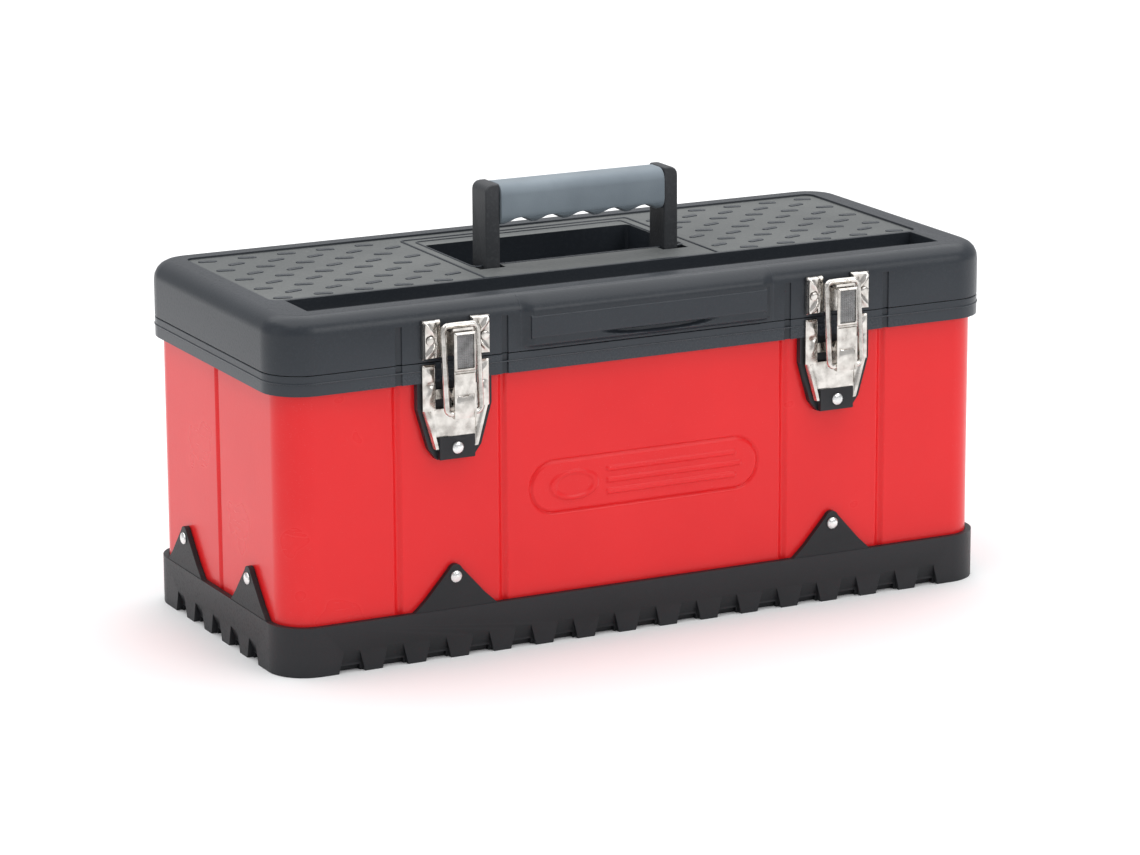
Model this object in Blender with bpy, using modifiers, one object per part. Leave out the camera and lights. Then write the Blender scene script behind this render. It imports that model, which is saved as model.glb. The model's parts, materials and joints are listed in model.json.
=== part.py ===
"""Toolbox with a lift-out tray, a folding handle and two wire-bail latches.

The box stands on Z = 0 with its front towards -Y. All sizes are in metres.
"""
from math import cos, pi, radians, sin

import bmesh
import bpy
from mathutils import Matrix, Vector

MM = 0.001

# Fits
GAP = 0.3 * MM              # between pieces that touch
RUNNING = 0.08 * MM         # round a pin that turns
SLIP = 1.0 * MM             # round a piece that is lifted in and out
OVERCUT = 5 * MM            # how far a cutter runs past the face it opens

# Steel body
BODY_LENGTH = 470 * MM
BODY_WIDTH = 200 * MM
BODY_CORNER = 20 * MM
SHEET = 0.8 * MM
GROOVE_DEPTH = 2.0 * MM
GROOVE_WIDTH = 7.0 * MM
INNER_GROOVE_X = 95 * MM
OUTER_GROOVE_X = 163.5 * MM
BADGE_LENGTH = 155 * MM
BADGE_HEIGHT = 33 * MM
BADGE_ROUND = 16.2 * MM
BADGE_RISE = 0.8 * MM
BADGE_CENTRE = 65 * MM      # above the base's lip
STEEL_SHOWN = 139 * MM      # height of steel between the base's lip and the rim

# Plastic base
BASE_LIP = 4 * MM           # how far the base stands out from the steel
BASE_HEIGHT = 30 * MM
FLOOR_Z = 9 * MM
FLOOR_THICKNESS = 3 * MM
FOOT_WALL = 9 * MM
FOOT_NOTCH = 13 * MM
FOOT_NOTCH_HEIGHT = 3.5 * MM
FOOT_PITCH = 28 * MM
RUNNER_WIDTH = 12 * MM
TAB_THICKNESS = 3.4 * MM
TAB_FOOT = 27 * MM          # half the width of a tab where it leaves the lip
TAB_TOP = 4.5 * MM          # half the width of a tab at its rounded point
TAB_HEIGHT = 27 * MM
TAB_WAIST = (0.7, 0.28)     # shares of its half width and height where a flank turns
SIDE_TAB_Y = 50 * MM
TAB_RIVET_DROP = 7.5 * MM   # from a tab's point down to its rivet

# Rim round the top of the steel
RIM_LIP = 5 * MM            # how far the rim and the lid stand out from the steel
RIM_HEIGHT = 12 * MM
RIM_WEB = 3 * MM
SKIRT = 2.5 * MM
SKIRT_HEIGHT = 31 * MM
LEDGE_WIDTH = 8 * MM
LEDGE_THICKNESS = 2.5 * MM

# Latches
LATCH_X = 128 * MM
TONGUE_WIDTH = 48 * MM
TONGUE_THICKNESS = 4.2 * MM
TONGUE_SHOULDER = 28 * MM   # drops below the parting line
TONGUE_LENGTH = 59 * MM
TONGUE_TOE = 34 * MM        # the tongue's width where it starts to round in
TONGUE_TIP = 23.8 * MM      # its width at its lower end
PLATE_THICKNESS = 1.2 * MM
PLATE_WIDTH = 43 * MM
PLATE_TOP = 1 * MM
PLATE_LOW = 52 * MM
PLATE_TOE = 29 * MM
BLOCK_WIDTH = 23 * MM
BLOCK_TOP = 45 * MM
BLOCK_RISE = 3.2 * MM
KEEPER_RISE = 2.5 * MM      # from the parting line up to the keeper plate
KEEPER_HEIGHT = 23 * MM
EAR_RISE = 5 * MM
EAR_WIDTH = 8 * MM
PRESSED_ROUND = 1.5 * MM    # corners of the pressed ears, keeper and lever
WING_RISE = 3 * MM
HOOK_WIDTH = 13 * MM
HOOK_THICKNESS = 1.6 * MM
HOOK_LIP_RISE = 1.2 * MM
HOOK_MARGIN = 0.9 * MM      # round the rung as it leaves the hook
LEVER_WIDTH = 14 * MM
LEVER_SHEET = 1.4 * MM
LEVER_LENGTH = 50.5 * MM
LEVER_TAIL = 8 * MM         # from the lever's pin down to its lower end
LEVER_STAND_OFF = 14.4 * MM # from the rim's face to the inside of the lever
PIVOT_DROP = 23 * MM        # from the parting line down to the lever's pin
PIVOT_STAND_OFF = 11.5 * MM
BAIL_ARM = 6 * MM           # from the lever's pin to the bail's ends
FLANGE_WALL = 0.9 * MM      # of the lever's flange round the bail's ends
FLANGE_RISE = 12 * MM       # from the lever's pin up to the top of a flange
BAIL_OVER_CENTRE = radians(10)
BAIL_WIRE = 2 * MM          # the wire's radius
BAIL_HALF_WIDTH = 11 * MM
BAIL_BEND = 3.2 * MM        # radius of the wire's centre line at a bend
RUNG_CLEARANCE = 1 * MM     # over the lever's top
RUNG_STAND_OFF = 8 * MM
LEVER_PIN = 1.4 * MM        # radius
BRACKET_SHEET = 1.2 * MM
BRACKET_ROUND = 2.7 * MM    # radius of a bracket ear round the lever's pin
BRACKET_FOOT = (1.5 * MM, 6.5 * MM)     # where an ear's foot starts and ends, above the pin

# Lid
LID_HEIGHT = 34 * MM
LID_WALL = 3 * MM
LID_EDGE = 11 * MM
PANEL_DEPTH = 1.5 * MM
PANEL_MARGIN = 21 * MM
PANEL_BACK_MARGIN = 19 * MM
PANEL_CORNER = 6 * MM
TROUGH_MARGIN = 19 * MM     # from the lid's front face back to the trough
TROUGH_WIDTH = 33 * MM
TROUGH_DEPTH = 8 * MM
TROUGH_END = 28 * MM        # from the lid's ends to the trough's
BULGE_HALF_LENGTH = 79 * MM
BULGE_RISE = 3 * MM
BULGE_LOW = 7 * MM          # above the parting line
BULGE_HEIGHT = 15 * MM
BULGE_ROUND = 2 * MM
PLASTIC_GROOVE_WIDTH = 4 * MM
PLASTIC_GROOVE_DEPTH = 1.2 * MM

# Handle and its well
HANDLE_HALF_WIDTH = 65.5 * MM
LEG_WIDTH = 9.5 * MM
LEG_DEPTH = 20 * MM
HANDLE_OFFSET = -9 * MM     # from the middle of the box to the handle's pins
HANDLE_HEIGHT = 50.5 * MM   # above the lid's panel
HANDLE_CORNER = 5 * MM
BAR_HEIGHT = 13 * MM
BAR_DEPTH = 12 * MM
BAR_DROP = 6 * MM           # from the top of the handle to the bar
GRIP_DEPTH = 23 * MM
GRIP_HEIGHT = 26 * MM
GRIP_ROUND = 7 * MM
SCALLOPS = 5
SCALLOP_PITCH = 21.2 * MM
SCALLOP_RADIUS = 12.6 * MM
SCALLOP_DEPTH = 4.2 * MM
HANDLE_PIN = 3 * MM         # radius
HUB_ROUND = 7 * MM
WELL_HALF_LENGTH = 71 * MM
WELL_FRONT = 4 * MM         # in front of the handle's pins
WELL_DEPTH = 27.5 * MM
WELL_WALL = 3 * MM
WELL_CORNER = 3 * MM
FINGER_ROOM = 7.5 * MM      # behind the folded grip
LEG_NOTCH_WIDTH = 17 * MM
LEG_ROOM = 3 * MM           # in front of the legs
LEG_NOTCH_OVERLAP = 10 * MM     # how far a notch runs back into the well

# Hinges
HINGE_X = 128 * MM
HINGE_OFFSET = 5.2 * MM     # from the rim's rear face to the hinge axis
HINGE_RISE = 0.15 * MM      # the axis lies in the middle of the parting gap
KNUCKLE_ROUND = 4.4 * MM
KNUCKLE_LENGTH = 13 * MM
LID_KNUCKLE_LENGTH = 15 * MM
KNUCKLE_WEB = 5 * MM
HINGE_PIN = 2 * MM          # radius

# Tray
TRAY_WALL = 2 * MM
TRAY_DEPTH = 44 * MM
TRAY_FLANGE = 2.5 * MM
TRAY_GRIP_THICKNESS = 12 * MM
TRAY_LIFT = 16 * MM         # from the tray's handle up to the well in the closed lid
TRAY_SLOT_LENGTH = 96 * MM
TRAY_SLOT_HEIGHT = 24 * MM
TRAY_SLOT_DROP = 12 * MM
TRAY_SLOT_ROUND = 10.8 * MM
TRAY_CREST_ROUND = 8 * MM
DIVIDER_X = 105 * MM
DIVIDER_THICKNESS = 2 * MM
DIVIDER_HEIGHT = 34 * MM
DIVIDER_GUIDE = 2 * MM      # how far a guide stands into the tray
DIVIDER_GUIDE_WIDTH = 6 * MM

# Rivets
RIVET_SHANK = 2 * MM        # radius
RIVET_HEAD = 3.8 * MM       # radius
RIVET_HEAD_HEIGHT = 1.6 * MM
RIVET_TAIL_HEIGHT = 1.2 * MM
RIVET_TAIL = 3 * MM         # radius

# Where the box stands: its overall length front to back is centred on Y = 0
LEVER_FACE = LEVER_STAND_OFF + LEVER_SHEET
BODY_Y = (LEVER_FACE - HINGE_OFFSET - KNUCKLE_ROUND) / 2
RIM_LOW_Z = BASE_HEIGHT + STEEL_SHOWN
PARTING_Z = RIM_LOW_Z + RIM_HEIGHT
SKIRT_LOW_Z = PARTING_Z - SKIRT_HEIGHT
FRONT = BODY_Y - BODY_WIDTH / 2         # outside of the steel at the front
RIM_FRONT = FRONT - RIM_LIP
RIM_BACK = BODY_Y + BODY_WIDTH / 2 + RIM_LIP
HINGE_Y = RIM_BACK + HINGE_OFFSET
HINGE_Z = PARTING_Z + HINGE_RISE
LID_LOW_Z = PARTING_Z + 2 * HINGE_RISE
LID_TOP_Z = PARTING_Z + LID_HEIGHT
PANEL_Z = LID_TOP_Z - PANEL_DEPTH
TROUGH_FRONT_Y = RIM_FRONT + TROUGH_MARGIN
PANEL_FRONT_Y = TROUGH_FRONT_Y + TROUGH_WIDTH + LID_WALL
TROUGH_HALF_LENGTH = BODY_LENGTH / 2 + RIM_LIP - TROUGH_END

# Handle and well
HANDLE_Y = BODY_Y + HANDLE_OFFSET
HANDLE_TOP_Z = PANEL_Z + HANDLE_HEIGHT
LEG_PIVOT_Z = PANEL_Z - LEG_DEPTH / 2
WELL_FRONT_Y = HANDLE_Y - WELL_FRONT
WELL_BACK_Y = HANDLE_Y + HANDLE_TOP_Z - LEG_PIVOT_Z + FINGER_ROOM
WELL_FLOOR_Z = PANEL_Z - WELL_DEPTH

# Latch heights
TONGUE_SHOULDER_Z = PARTING_Z - TONGUE_SHOULDER
TONGUE_LOW_Z = PARTING_Z - TONGUE_LENGTH
PLATE_TOP_Z = PARTING_Z - PLATE_TOP
PLATE_LOW_Z = PARTING_Z - PLATE_LOW
BLOCK_TOP_Z = PARTING_Z - BLOCK_TOP
KEEPER_LOW_Z = PARTING_Z + KEEPER_RISE
KEEPER_TOP_Z = KEEPER_LOW_Z + KEEPER_HEIGHT
PIVOT_Z = PARTING_Z - PIVOT_DROP
LEVER_LOW_Z = PIVOT_Z - LEVER_TAIL
LEVER_TOP_Z = LEVER_LOW_Z + LEVER_LENGTH
RUNG_Z = LEVER_TOP_Z + RUNG_CLEARANCE + BAIL_WIRE

# Tray
LEDGE_TOP_Z = SKIRT_LOW_Z + LEDGE_THICKNESS
SKIRT_OUTSIDE = SHEET + GROOVE_DEPTH + GAP      # from the steel's outside to the skirt
SKIRT_INSIDE = SKIRT_OUTSIDE + SKIRT
TRAY_FLANGE_INSET = SKIRT_INSIDE + SLIP
TRAY_INSET = SKIRT_INSIDE + LEDGE_WIDTH + SLIP
TRAY_RIM_Z = LEDGE_TOP_Z + GAP + TRAY_FLANGE
TRAY_FLOOR_Z = TRAY_RIM_Z - TRAY_DEPTH
TRAY_GRIP_TOP_Z = WELL_FLOOR_Z - WELL_WALL - TRAY_LIFT

COLOURS = {
    "black_plastic": ((0.035, 0.036, 0.04), 0.55, 0.0),
    "slate_plastic": ((0.055, 0.068, 0.075), 0.5, 0.0),
    "red_paint": ((0.74, 0.035, 0.035), 0.28, 0.0),
    "nickel_plate": ((0.72, 0.69, 0.64), 0.25, 1.0),
    "bright_steel": ((0.8, 0.8, 0.79), 0.25, 1.0),
    "grey_rubber": ((0.17, 0.21, 0.25), 0.6, 0.0),
    "grey_plastic": ((0.13, 0.14, 0.15), 0.5, 0.0),
}


def clear_scene():
    for obj in list(bpy.data.objects):
        bpy.data.objects.remove(obj, do_unlink=True)


def new_collection(name):
    collection = bpy.data.collections.new(name)
    bpy.context.scene.collection.children.link(collection)
    return collection


def make_materials():
    made = {}
    for name, (colour, roughness, metallic) in COLOURS.items():
        material = bpy.data.materials.new(name)
        material.use_nodes = True
        shader = material.node_tree.nodes["Principled BSDF"]
        shader.inputs["Base Color"].default_value = (*colour, 1)
        shader.inputs["Roughness"].default_value = roughness
        shader.inputs["Metallic"].default_value = metallic
        made[name] = material
    return made


clear_scene()
PARTS = new_collection("toolbox_with_tray")
CUTTERS = new_collection("cutters")
MATERIALS = make_materials()


def place(obj, origin):
    """Moves an object's origin without moving its mesh in the world."""
    obj.data.transform(Matrix.Translation(-Vector(origin)))
    obj.location = origin


def part(name, mesh, finish, origin=(0, 0, 0)):
    """A sub-part, with its own copy of the named finish."""
    mesh.name = name
    obj = bpy.data.objects.new(name, mesh)
    PARTS.objects.link(obj)
    material = MATERIALS[finish].copy()
    material.name = name
    mesh.materials.append(material)
    place(obj, origin)
    return obj


def boolean(target, mesh, operation, name):
    """Cuts or joins a mesh to a part, kept as a hidden wire object."""
    tool = bpy.data.objects.new(f"{target.name}_{name}", mesh)
    CUTTERS.objects.link(tool)
    tool.hide_render = True
    tool.display_type = "WIRE"
    modifier = target.modifiers.new(name, "BOOLEAN")
    modifier.object = tool
    modifier.operation = operation
    modifier.solver = "EXACT"


def cut(target, mesh, name):
    boolean(target, mesh, "DIFFERENCE", name)


def join(target, mesh, name):
    boolean(target, mesh, "UNION", name)


def face_outwards(bm):
    bmesh.ops.recalc_face_normals(bm, faces=bm.faces)
    if bm.calc_volume(signed=True) < 0:
        bmesh.ops.reverse_faces(bm, faces=bm.faces)


def to_mesh(bm):
    mesh = bpy.data.meshes.new("shape")
    bm.to_mesh(mesh)
    bm.free()
    return mesh


def box_bmesh(low, high):
    bm = bmesh.new()
    bmesh.ops.create_cube(bm, size=1)
    size = Vector(high) - Vector(low)
    centre = (Vector(high) + Vector(low)) / 2
    bmesh.ops.scale(bm, vec=size, verts=bm.verts)
    bmesh.ops.translate(bm, vec=centre, verts=bm.verts)
    return bm


def round_edges(bm, radius, along, segments, keep=None):
    """Rounds the edges that run along one axis, all of them or those that keep accepts."""
    edges = []
    for edge in bm.edges:
        direction = (edge.verts[1].co - edge.verts[0].co).normalized()
        middle = (edge.verts[1].co + edge.verts[0].co) / 2
        if abs(direction[along]) > 0.99 and (keep is None or keep(middle)):
            edges.append(edge)
    bmesh.ops.bevel(bm, geom=edges, offset=radius, segments=segments, profile=0.5,
                    affect="EDGES", clamp_overlap=True)


def block(low, high, radius=0.0, along=2, segments=6):
    """A box between two corners, its edges along one axis rounded."""
    bm = box_bmesh(low, high)
    if radius:
        round_edges(bm, radius, along, segments)
    return to_mesh(bm)


def blocks(corners):
    """Several separate boxes in one mesh."""
    whole = bmesh.new()
    for low, high in corners:
        piece = to_mesh(box_bmesh(low, high))
        whole.from_mesh(piece)
        bpy.data.meshes.remove(piece)
    return to_mesh(whole)


def ring_block(inset, low_z, high_z, segments=8):
    """A block that follows the steel's outline, inset from it (negative is outside)."""
    half_length = BODY_LENGTH / 2 - inset
    half_width = BODY_WIDTH / 2 - inset
    low = (-half_length, BODY_Y - half_width, low_z)
    high = (half_length, BODY_Y + half_width, high_z)
    return block(low, high, BODY_CORNER - inset, segments=segments)


def rod(start, end, radius, segments=24):
    """A cylinder between two points."""
    start = Vector(start)
    end = Vector(end)
    bm = bmesh.new()
    turn = (end - start).to_track_quat("Z", "Y").to_matrix().to_4x4()
    middle = Matrix.Translation((start + end) / 2)
    bmesh.ops.create_cone(bm, cap_ends=True, segments=segments, radius1=radius, radius2=radius,
                          depth=(end - start).length, matrix=middle @ turn)
    return to_mesh(bm)


def combine(meshes):
    """Separate meshes in one, for a cutter that works in several places."""
    whole = bmesh.new()
    for piece in meshes:
        whole.from_mesh(piece)
        bpy.data.meshes.remove(piece)
    return to_mesh(whole)


def curve_to_mesh(curve, matrix=Matrix.Identity(4)):
    """The solid that a curve object makes, its caps welded."""
    holder = bpy.data.objects.new("curve", curve)
    bpy.context.scene.collection.objects.link(holder)
    depsgraph = bpy.context.evaluated_depsgraph_get()
    mesh = bpy.data.meshes.new_from_object(holder.evaluated_get(depsgraph))
    bpy.data.objects.remove(holder)
    bm = bmesh.new()
    bm.from_mesh(mesh)
    bpy.data.meshes.remove(mesh)
    bmesh.ops.remove_doubles(bm, verts=bm.verts, dist=0.01 * MM)
    bm.transform(matrix)
    face_outwards(bm)
    return to_mesh(bm)


def plate(outline, thickness, matrix):
    """A flat outline with a thickness, centred on its plane, then moved by a matrix."""
    curve = bpy.data.curves.new("outline", "CURVE")
    curve.dimensions = "2D"
    curve.fill_mode = "BOTH"
    curve.extrude = thickness / 2
    spline = curve.splines.new("POLY")
    spline.points.add(len(outline) - 1)
    for point, (x, y) in zip(spline.points, outline):
        point.co = (x, y, 0, 1)
    spline.use_cyclic_u = True
    return curve_to_mesh(curve, matrix)


def facing_front(x, y):
    """Stands an outline up: its x along +X and its y along +Z, in the plane Y = y."""
    return Matrix.Translation((x, y, 0)) @ Matrix.Rotation(pi / 2, 4, "X")


def facing_side(x, outward, y=0.0):
    """Stands an outline up across X: its x along -Y and its y along +Z."""
    turn = Matrix.Rotation(-pi / 2 * outward, 4, "Z")
    return Matrix.Translation((x, y, 0)) @ turn @ Matrix.Rotation(pi / 2, 4, "X")


def arc(centre, radius, start, end, steps):
    """Points on an arc, angles in degrees, both ends included."""
    points = []
    for step in range(steps + 1):
        angle = radians(start + (end - start) * step / steps)
        points.append((centre[0] + radius * cos(angle), centre[1] + radius * sin(angle)))
    return points


def turned(profile, matrix, steps=14):
    """A solid turned round Z from (radius, height) points that start and end on the axis."""
    mesh = bpy.data.meshes.new("profile")
    bm = bmesh.new()
    verts = [bm.verts.new((radius, 0, height)) for radius, height in profile]
    for first, second in zip(verts, verts[1:]):
        bm.edges.new((first, second))
    bm.to_mesh(mesh)
    bm.free()
    holder = bpy.data.objects.new("turned", mesh)
    bpy.context.scene.collection.objects.link(holder)
    screw = holder.modifiers.new("turn", "SCREW")
    screw.steps = steps
    screw.render_steps = steps
    screw.use_merge_vertices = True
    screw.merge_threshold = 0.00001
    depsgraph = bpy.context.evaluated_depsgraph_get()
    solid = bpy.data.meshes.new_from_object(holder.evaluated_get(depsgraph))
    bpy.data.objects.remove(holder)
    bpy.data.meshes.remove(mesh)
    bm = bmesh.new()
    bm.from_mesh(solid)
    bpy.data.meshes.remove(solid)
    bmesh.ops.remove_doubles(bm, verts=bm.verts, dist=0.001 * MM)
    bm.transform(matrix)
    face_outwards(bm)
    return to_mesh(bm)


def rivet(name, face, direction, grip):
    """A dome-headed rivet: its head over the face point, its shank back through the grip."""
    head = arc((0, GAP), 1, 0, 90, 5)
    profile = [(0, -grip - GAP - RIVET_TAIL_HEIGHT)]
    profile += [(RIVET_TAIL, -grip - GAP - RIVET_TAIL_HEIGHT)]
    profile += [(RIVET_TAIL, -grip - GAP), (RIVET_SHANK, -grip - GAP)]
    profile += [(RIVET_SHANK, GAP)]
    for across, up in head:
        profile.append((across * RIVET_HEAD, GAP + (up - GAP) * RIVET_HEAD_HEIGHT))
    profile[-1] = (0, GAP + RIVET_HEAD_HEIGHT)
    turn = Vector(direction).to_track_quat("Z", "Y").to_matrix().to_4x4()
    mesh = turned(profile, Matrix.Translation(face) @ turn)
    return part(name, mesh, "bright_steel", face)


def rivet_hole(point, direction):
    """The cutter for one rivet's hole."""
    reach = Vector(direction) * (BODY_CORNER)
    start = Vector(point) - reach
    end = Vector(point) + reach
    return rod(start, end, RIVET_SHANK + GAP, 16)


def sides():
    """The two ends of the box: a name and a sign along X."""
    return (("left", -1), ("right", 1))


# Where the pieces that repeat stand

def tab_places():
    """Each tab's name, the middle of its foot on the steel's face, and the way it faces."""
    places = []
    for side, sign in sides():
        places.append((f"front_{side}", (sign * LATCH_X, FRONT), (0, -1, 0)))
        places.append((f"back_{side}", (sign * LATCH_X, FRONT + BODY_WIDTH), (0, 1, 0)))
        for end, along in (("front", -1), ("back", 1)):
            foot = (sign * BODY_LENGTH / 2, BODY_Y + along * SIDE_TAB_Y)
            places.append((f"{side}_{end}", foot, (sign, 0, 0)))
    return places


def tab_rivet_point(foot, out, depth):
    """The point on a tab's rivet axis, a depth out from the steel's face."""
    height = BASE_HEIGHT + TAB_HEIGHT - TAB_RIVET_DROP
    return (foot[0] + out[0] * depth, foot[1] + out[1] * depth, height)


def latch_rivet_heights():
    block_middle = (TONGUE_LOW_Z + BLOCK_TOP_Z) / 2
    plate_middle = (BLOCK_TOP_Z + LEVER_LOW_Z) / 2
    return (("lower", block_middle), ("upper", plate_middle))


# Base

def tab_outline():
    """A tab's outline in its own plane: a triangle with hollow flanks and a round point."""
    low = BASE_HEIGHT - OVERCUT
    shoulder = BASE_HEIGHT + TAB_HEIGHT - TAB_TOP
    points = [(TAB_FOOT, low), (TAB_FOOT, BASE_HEIGHT)]
    waist = TAB_FOOT * TAB_WAIST[0]
    waist_z = BASE_HEIGHT + TAB_HEIGHT * TAB_WAIST[1]
    points.append((waist, waist_z))
    points += arc((0, shoulder), TAB_TOP, 20, 160, 6)
    points.append((-waist, waist_z))
    points += [(-TAB_FOOT, BASE_HEIGHT), (-TAB_FOOT, low)]
    return points


def notch_positions(length):
    """Even positions along one side for the notches between the feet."""
    count = int((length / 2 - BODY_CORNER - FOOT_NOTCH) / FOOT_PITCH)
    return [index * FOOT_PITCH for index in range(-count, count + 1)]


def foot_notches():
    """Cutters for the notches that give the base its scalloped lower edge."""
    low_z = -OVERCUT
    high_z = FOOT_NOTCH_HEIGHT
    half_length = BODY_LENGTH / 2 + BASE_LIP
    half_width = BODY_WIDTH / 2 + BASE_LIP
    reach = FOOT_WALL - OVERCUT / 2
    corners = []
    for x in notch_positions(BODY_LENGTH):
        for sign in (-1, 1):
            near = BODY_Y + sign * (half_width - reach)
            far = BODY_Y + sign * (half_width + OVERCUT)
            corners.append(((x - FOOT_NOTCH / 2, min(near, far), low_z),
                            (x + FOOT_NOTCH / 2, max(near, far), high_z)))
    for y in notch_positions(BODY_WIDTH):
        for sign in (-1, 1):
            near = sign * (half_length - reach)
            far = sign * (half_length + OVERCUT)
            corners.append(((min(near, far), BODY_Y + y - FOOT_NOTCH / 2, low_z),
                            (max(near, far), BODY_Y + y + FOOT_NOTCH / 2, high_z)))
    return blocks(corners)


def make_base():
    base = part("base_tray", ring_block(-BASE_LIP, 0, BASE_HEIGHT), "black_plastic")
    cut(base, ring_block(-GAP, FLOOR_Z, BASE_HEIGHT + OVERCUT), "inside")
    underside = ring_block(FOOT_WALL - BASE_LIP, -OVERCUT, FLOOR_Z - FLOOR_THICKNESS)
    cut(base, underside, "underside")
    runner_half = BODY_LENGTH / 2 - FOOT_WALL + BASE_LIP + GAP
    runner = block((-runner_half, BODY_Y - RUNNER_WIDTH / 2, 0),
                   (runner_half, BODY_Y + RUNNER_WIDTH / 2, FLOOR_Z - FLOOR_THICKNESS / 2))
    join(base, runner, "runner")
    cut(base, foot_notches(), "feet")
    for name, foot, out in tab_places():
        middle = GAP + TAB_THICKNESS / 2
        spot = (foot[0] + out[0] * middle, foot[1] + out[1] * middle)
        if out[0]:
            matrix = facing_side(spot[0], out[0], spot[1])
        else:
            matrix = facing_front(spot[0], spot[1])
        join(base, plate(tab_outline(), TAB_THICKNESS, matrix), f"tab_{name}")
    holes = [rivet_hole(tab_rivet_point(foot, out, 0), out) for _, foot, out in tab_places()]
    cut(base, combine(holes), "rivet_holes")
    for name, foot, out in tab_places():
        face = tab_rivet_point(foot, out, GAP + TAB_THICKNESS)
        rivet(f"tab_rivet_{name}", face, out, GAP + TAB_THICKNESS + SHEET)


# Steel body

def grooved_side(length, grooves):
    """Points along one straight side, from its start, with a swaged groove at each place.

    The points are (along, inward), with the side's rounded corners left out.
    """
    points = [(BODY_CORNER, 0)]
    for place_along in grooves:
        points.append((place_along - GROOVE_WIDTH / 2, 0))
        points.append((place_along - GROOVE_WIDTH / 6, GROOVE_DEPTH))
        points.append((place_along + GROOVE_WIDTH / 6, GROOVE_DEPTH))
        points.append((place_along + GROOVE_WIDTH / 2, 0))
    points.append((length - BODY_CORNER, 0))
    return points


def body_outline():
    """The steel's outside seen from above, anticlockwise from the front left corner."""
    half_length = BODY_LENGTH / 2
    half_width = BODY_WIDTH / 2
    front_grooves = [half_length + x for x in (-OUTER_GROOVE_X, -INNER_GROOVE_X,
                                               INNER_GROOVE_X, OUTER_GROOVE_X)]
    points = []
    walks = (
        (BODY_LENGTH, front_grooves, (-half_length, -half_width), 0),
        (BODY_WIDTH, [half_width], (half_length, -half_width), 90),
        (BODY_LENGTH, front_grooves, (half_length, half_width), 180),
        (BODY_WIDTH, [half_width], (-half_length, half_width), 270),
    )
    for length, grooves, start, heading in walks:
        turn = radians(heading)
        for along, inward in grooved_side(length, grooves):
            x = start[0] + along * cos(turn) - inward * sin(turn)
            y = start[1] + along * sin(turn) + inward * cos(turn)
            points.append((x, BODY_Y + y))
        centre_along = length - BODY_CORNER
        x = start[0] + centre_along * cos(turn) - BODY_CORNER * sin(turn)
        y = start[1] + centre_along * sin(turn) + BODY_CORNER * cos(turn)
        corner = arc((x, BODY_Y + y), BODY_CORNER, heading - 90, heading, 8)
        points += corner[1:-1]
    return points


def make_body():
    bm = bmesh.new()
    low_z = FLOOR_Z + GAP
    high_z = PARTING_Z - RIM_WEB - GAP
    verts = [bm.verts.new((x, y, low_z)) for x, y in body_outline()]
    edges = [bm.edges.new((first, second)) for first, second in zip(verts, verts[1:] + verts[:1])]
    raised = bmesh.ops.extrude_edge_only(bm, edges=edges)
    top = [item for item in raised["geom"] if isinstance(item, bmesh.types.BMVert)]
    bmesh.ops.translate(bm, vec=(0, 0, high_z - low_z), verts=top)
    bmesh.ops.recalc_face_normals(bm, faces=bm.faces)
    body = part("steel_body", to_mesh(bm), "red_paint")
    solidify = body.modifiers.new("sheet", "SOLIDIFY")
    solidify.thickness = SHEET
    solidify.offset = -1
    solidify.use_even_offset = True
    badge_z = BASE_HEIGHT + BADGE_CENTRE
    badge = block((-BADGE_LENGTH / 2, FRONT - BADGE_RISE, badge_z - BADGE_HEIGHT / 2),
                  (BADGE_LENGTH / 2, FRONT + SHEET / 2, badge_z + BADGE_HEIGHT / 2),
                  BADGE_ROUND, along=1)
    join(body, badge, "badge")
    holes = [rivet_hole(tab_rivet_point(foot, out, 0), out) for _, foot, out in tab_places()]
    for _, sign in sides():
        for _, height in latch_rivet_heights():
            holes.append(rivet_hole((sign * LATCH_X, FRONT, height), (0, -1, 0)))
    cut(body, combine(holes), "rivet_holes")


# Rim

def tongue_outline():
    half = TONGUE_WIDTH / 2
    toe = TONGUE_TOE / 2
    tip = TONGUE_TIP / 2
    return [(-half, RIM_LOW_Z + GAP), (-half, TONGUE_SHOULDER_Z), (-toe, PLATE_LOW_Z - GAP),
            (-tip, TONGUE_LOW_Z), (tip, TONGUE_LOW_Z), (toe, PLATE_LOW_Z - GAP),
            (half, TONGUE_SHOULDER_Z), (half, RIM_LOW_Z + GAP)]


def plastic_grooves(low_z, high_z):
    """Cutters that carry the front's and back's grooves on through the rim or the lid."""
    half_width = BODY_WIDTH / 2 + RIM_LIP
    half = PLASTIC_GROOVE_WIDTH / 2
    corners = []
    for side in (-1, 1):
        near = BODY_Y + side * (half_width - PLASTIC_GROOVE_DEPTH)
        far = BODY_Y + side * (half_width + OVERCUT)
        for x in (-OUTER_GROOVE_X, -INNER_GROOVE_X, INNER_GROOVE_X, OUTER_GROOVE_X):
            corners.append(((x - half, min(near, far), low_z), (x + half, max(near, far), high_z)))
    return blocks(corners)


def knuckle(x_from, x_to, web_low, web_high):
    """A hinge knuckle and the web that ties it to the wall in front of it."""
    centre = (0, HINGE_Y, HINGE_Z)
    barrel = rod((x_from, *centre[1:]), (x_to, *centre[1:]), KNUCKLE_ROUND)
    web = block((x_from, RIM_BACK - RIM_LIP / 3, web_low), (x_to, HINGE_Y, web_high))
    return barrel, web


def hinge_hole(x):
    reach = KNUCKLE_LENGTH + LID_KNUCKLE_LENGTH
    start = (x - reach, HINGE_Y, HINGE_Z)
    end = (x + reach, HINGE_Y, HINGE_Z)
    return rod(start, end, HINGE_PIN + RUNNING, 32)


def rim_knuckle_spans(x):
    """The two stretches of one hinge that belong to the rim."""
    inner = LID_KNUCKLE_LENGTH / 2 + GAP
    outer = inner + KNUCKLE_LENGTH
    return ((x - outer, x - inner), (x + inner, x + outer))


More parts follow.
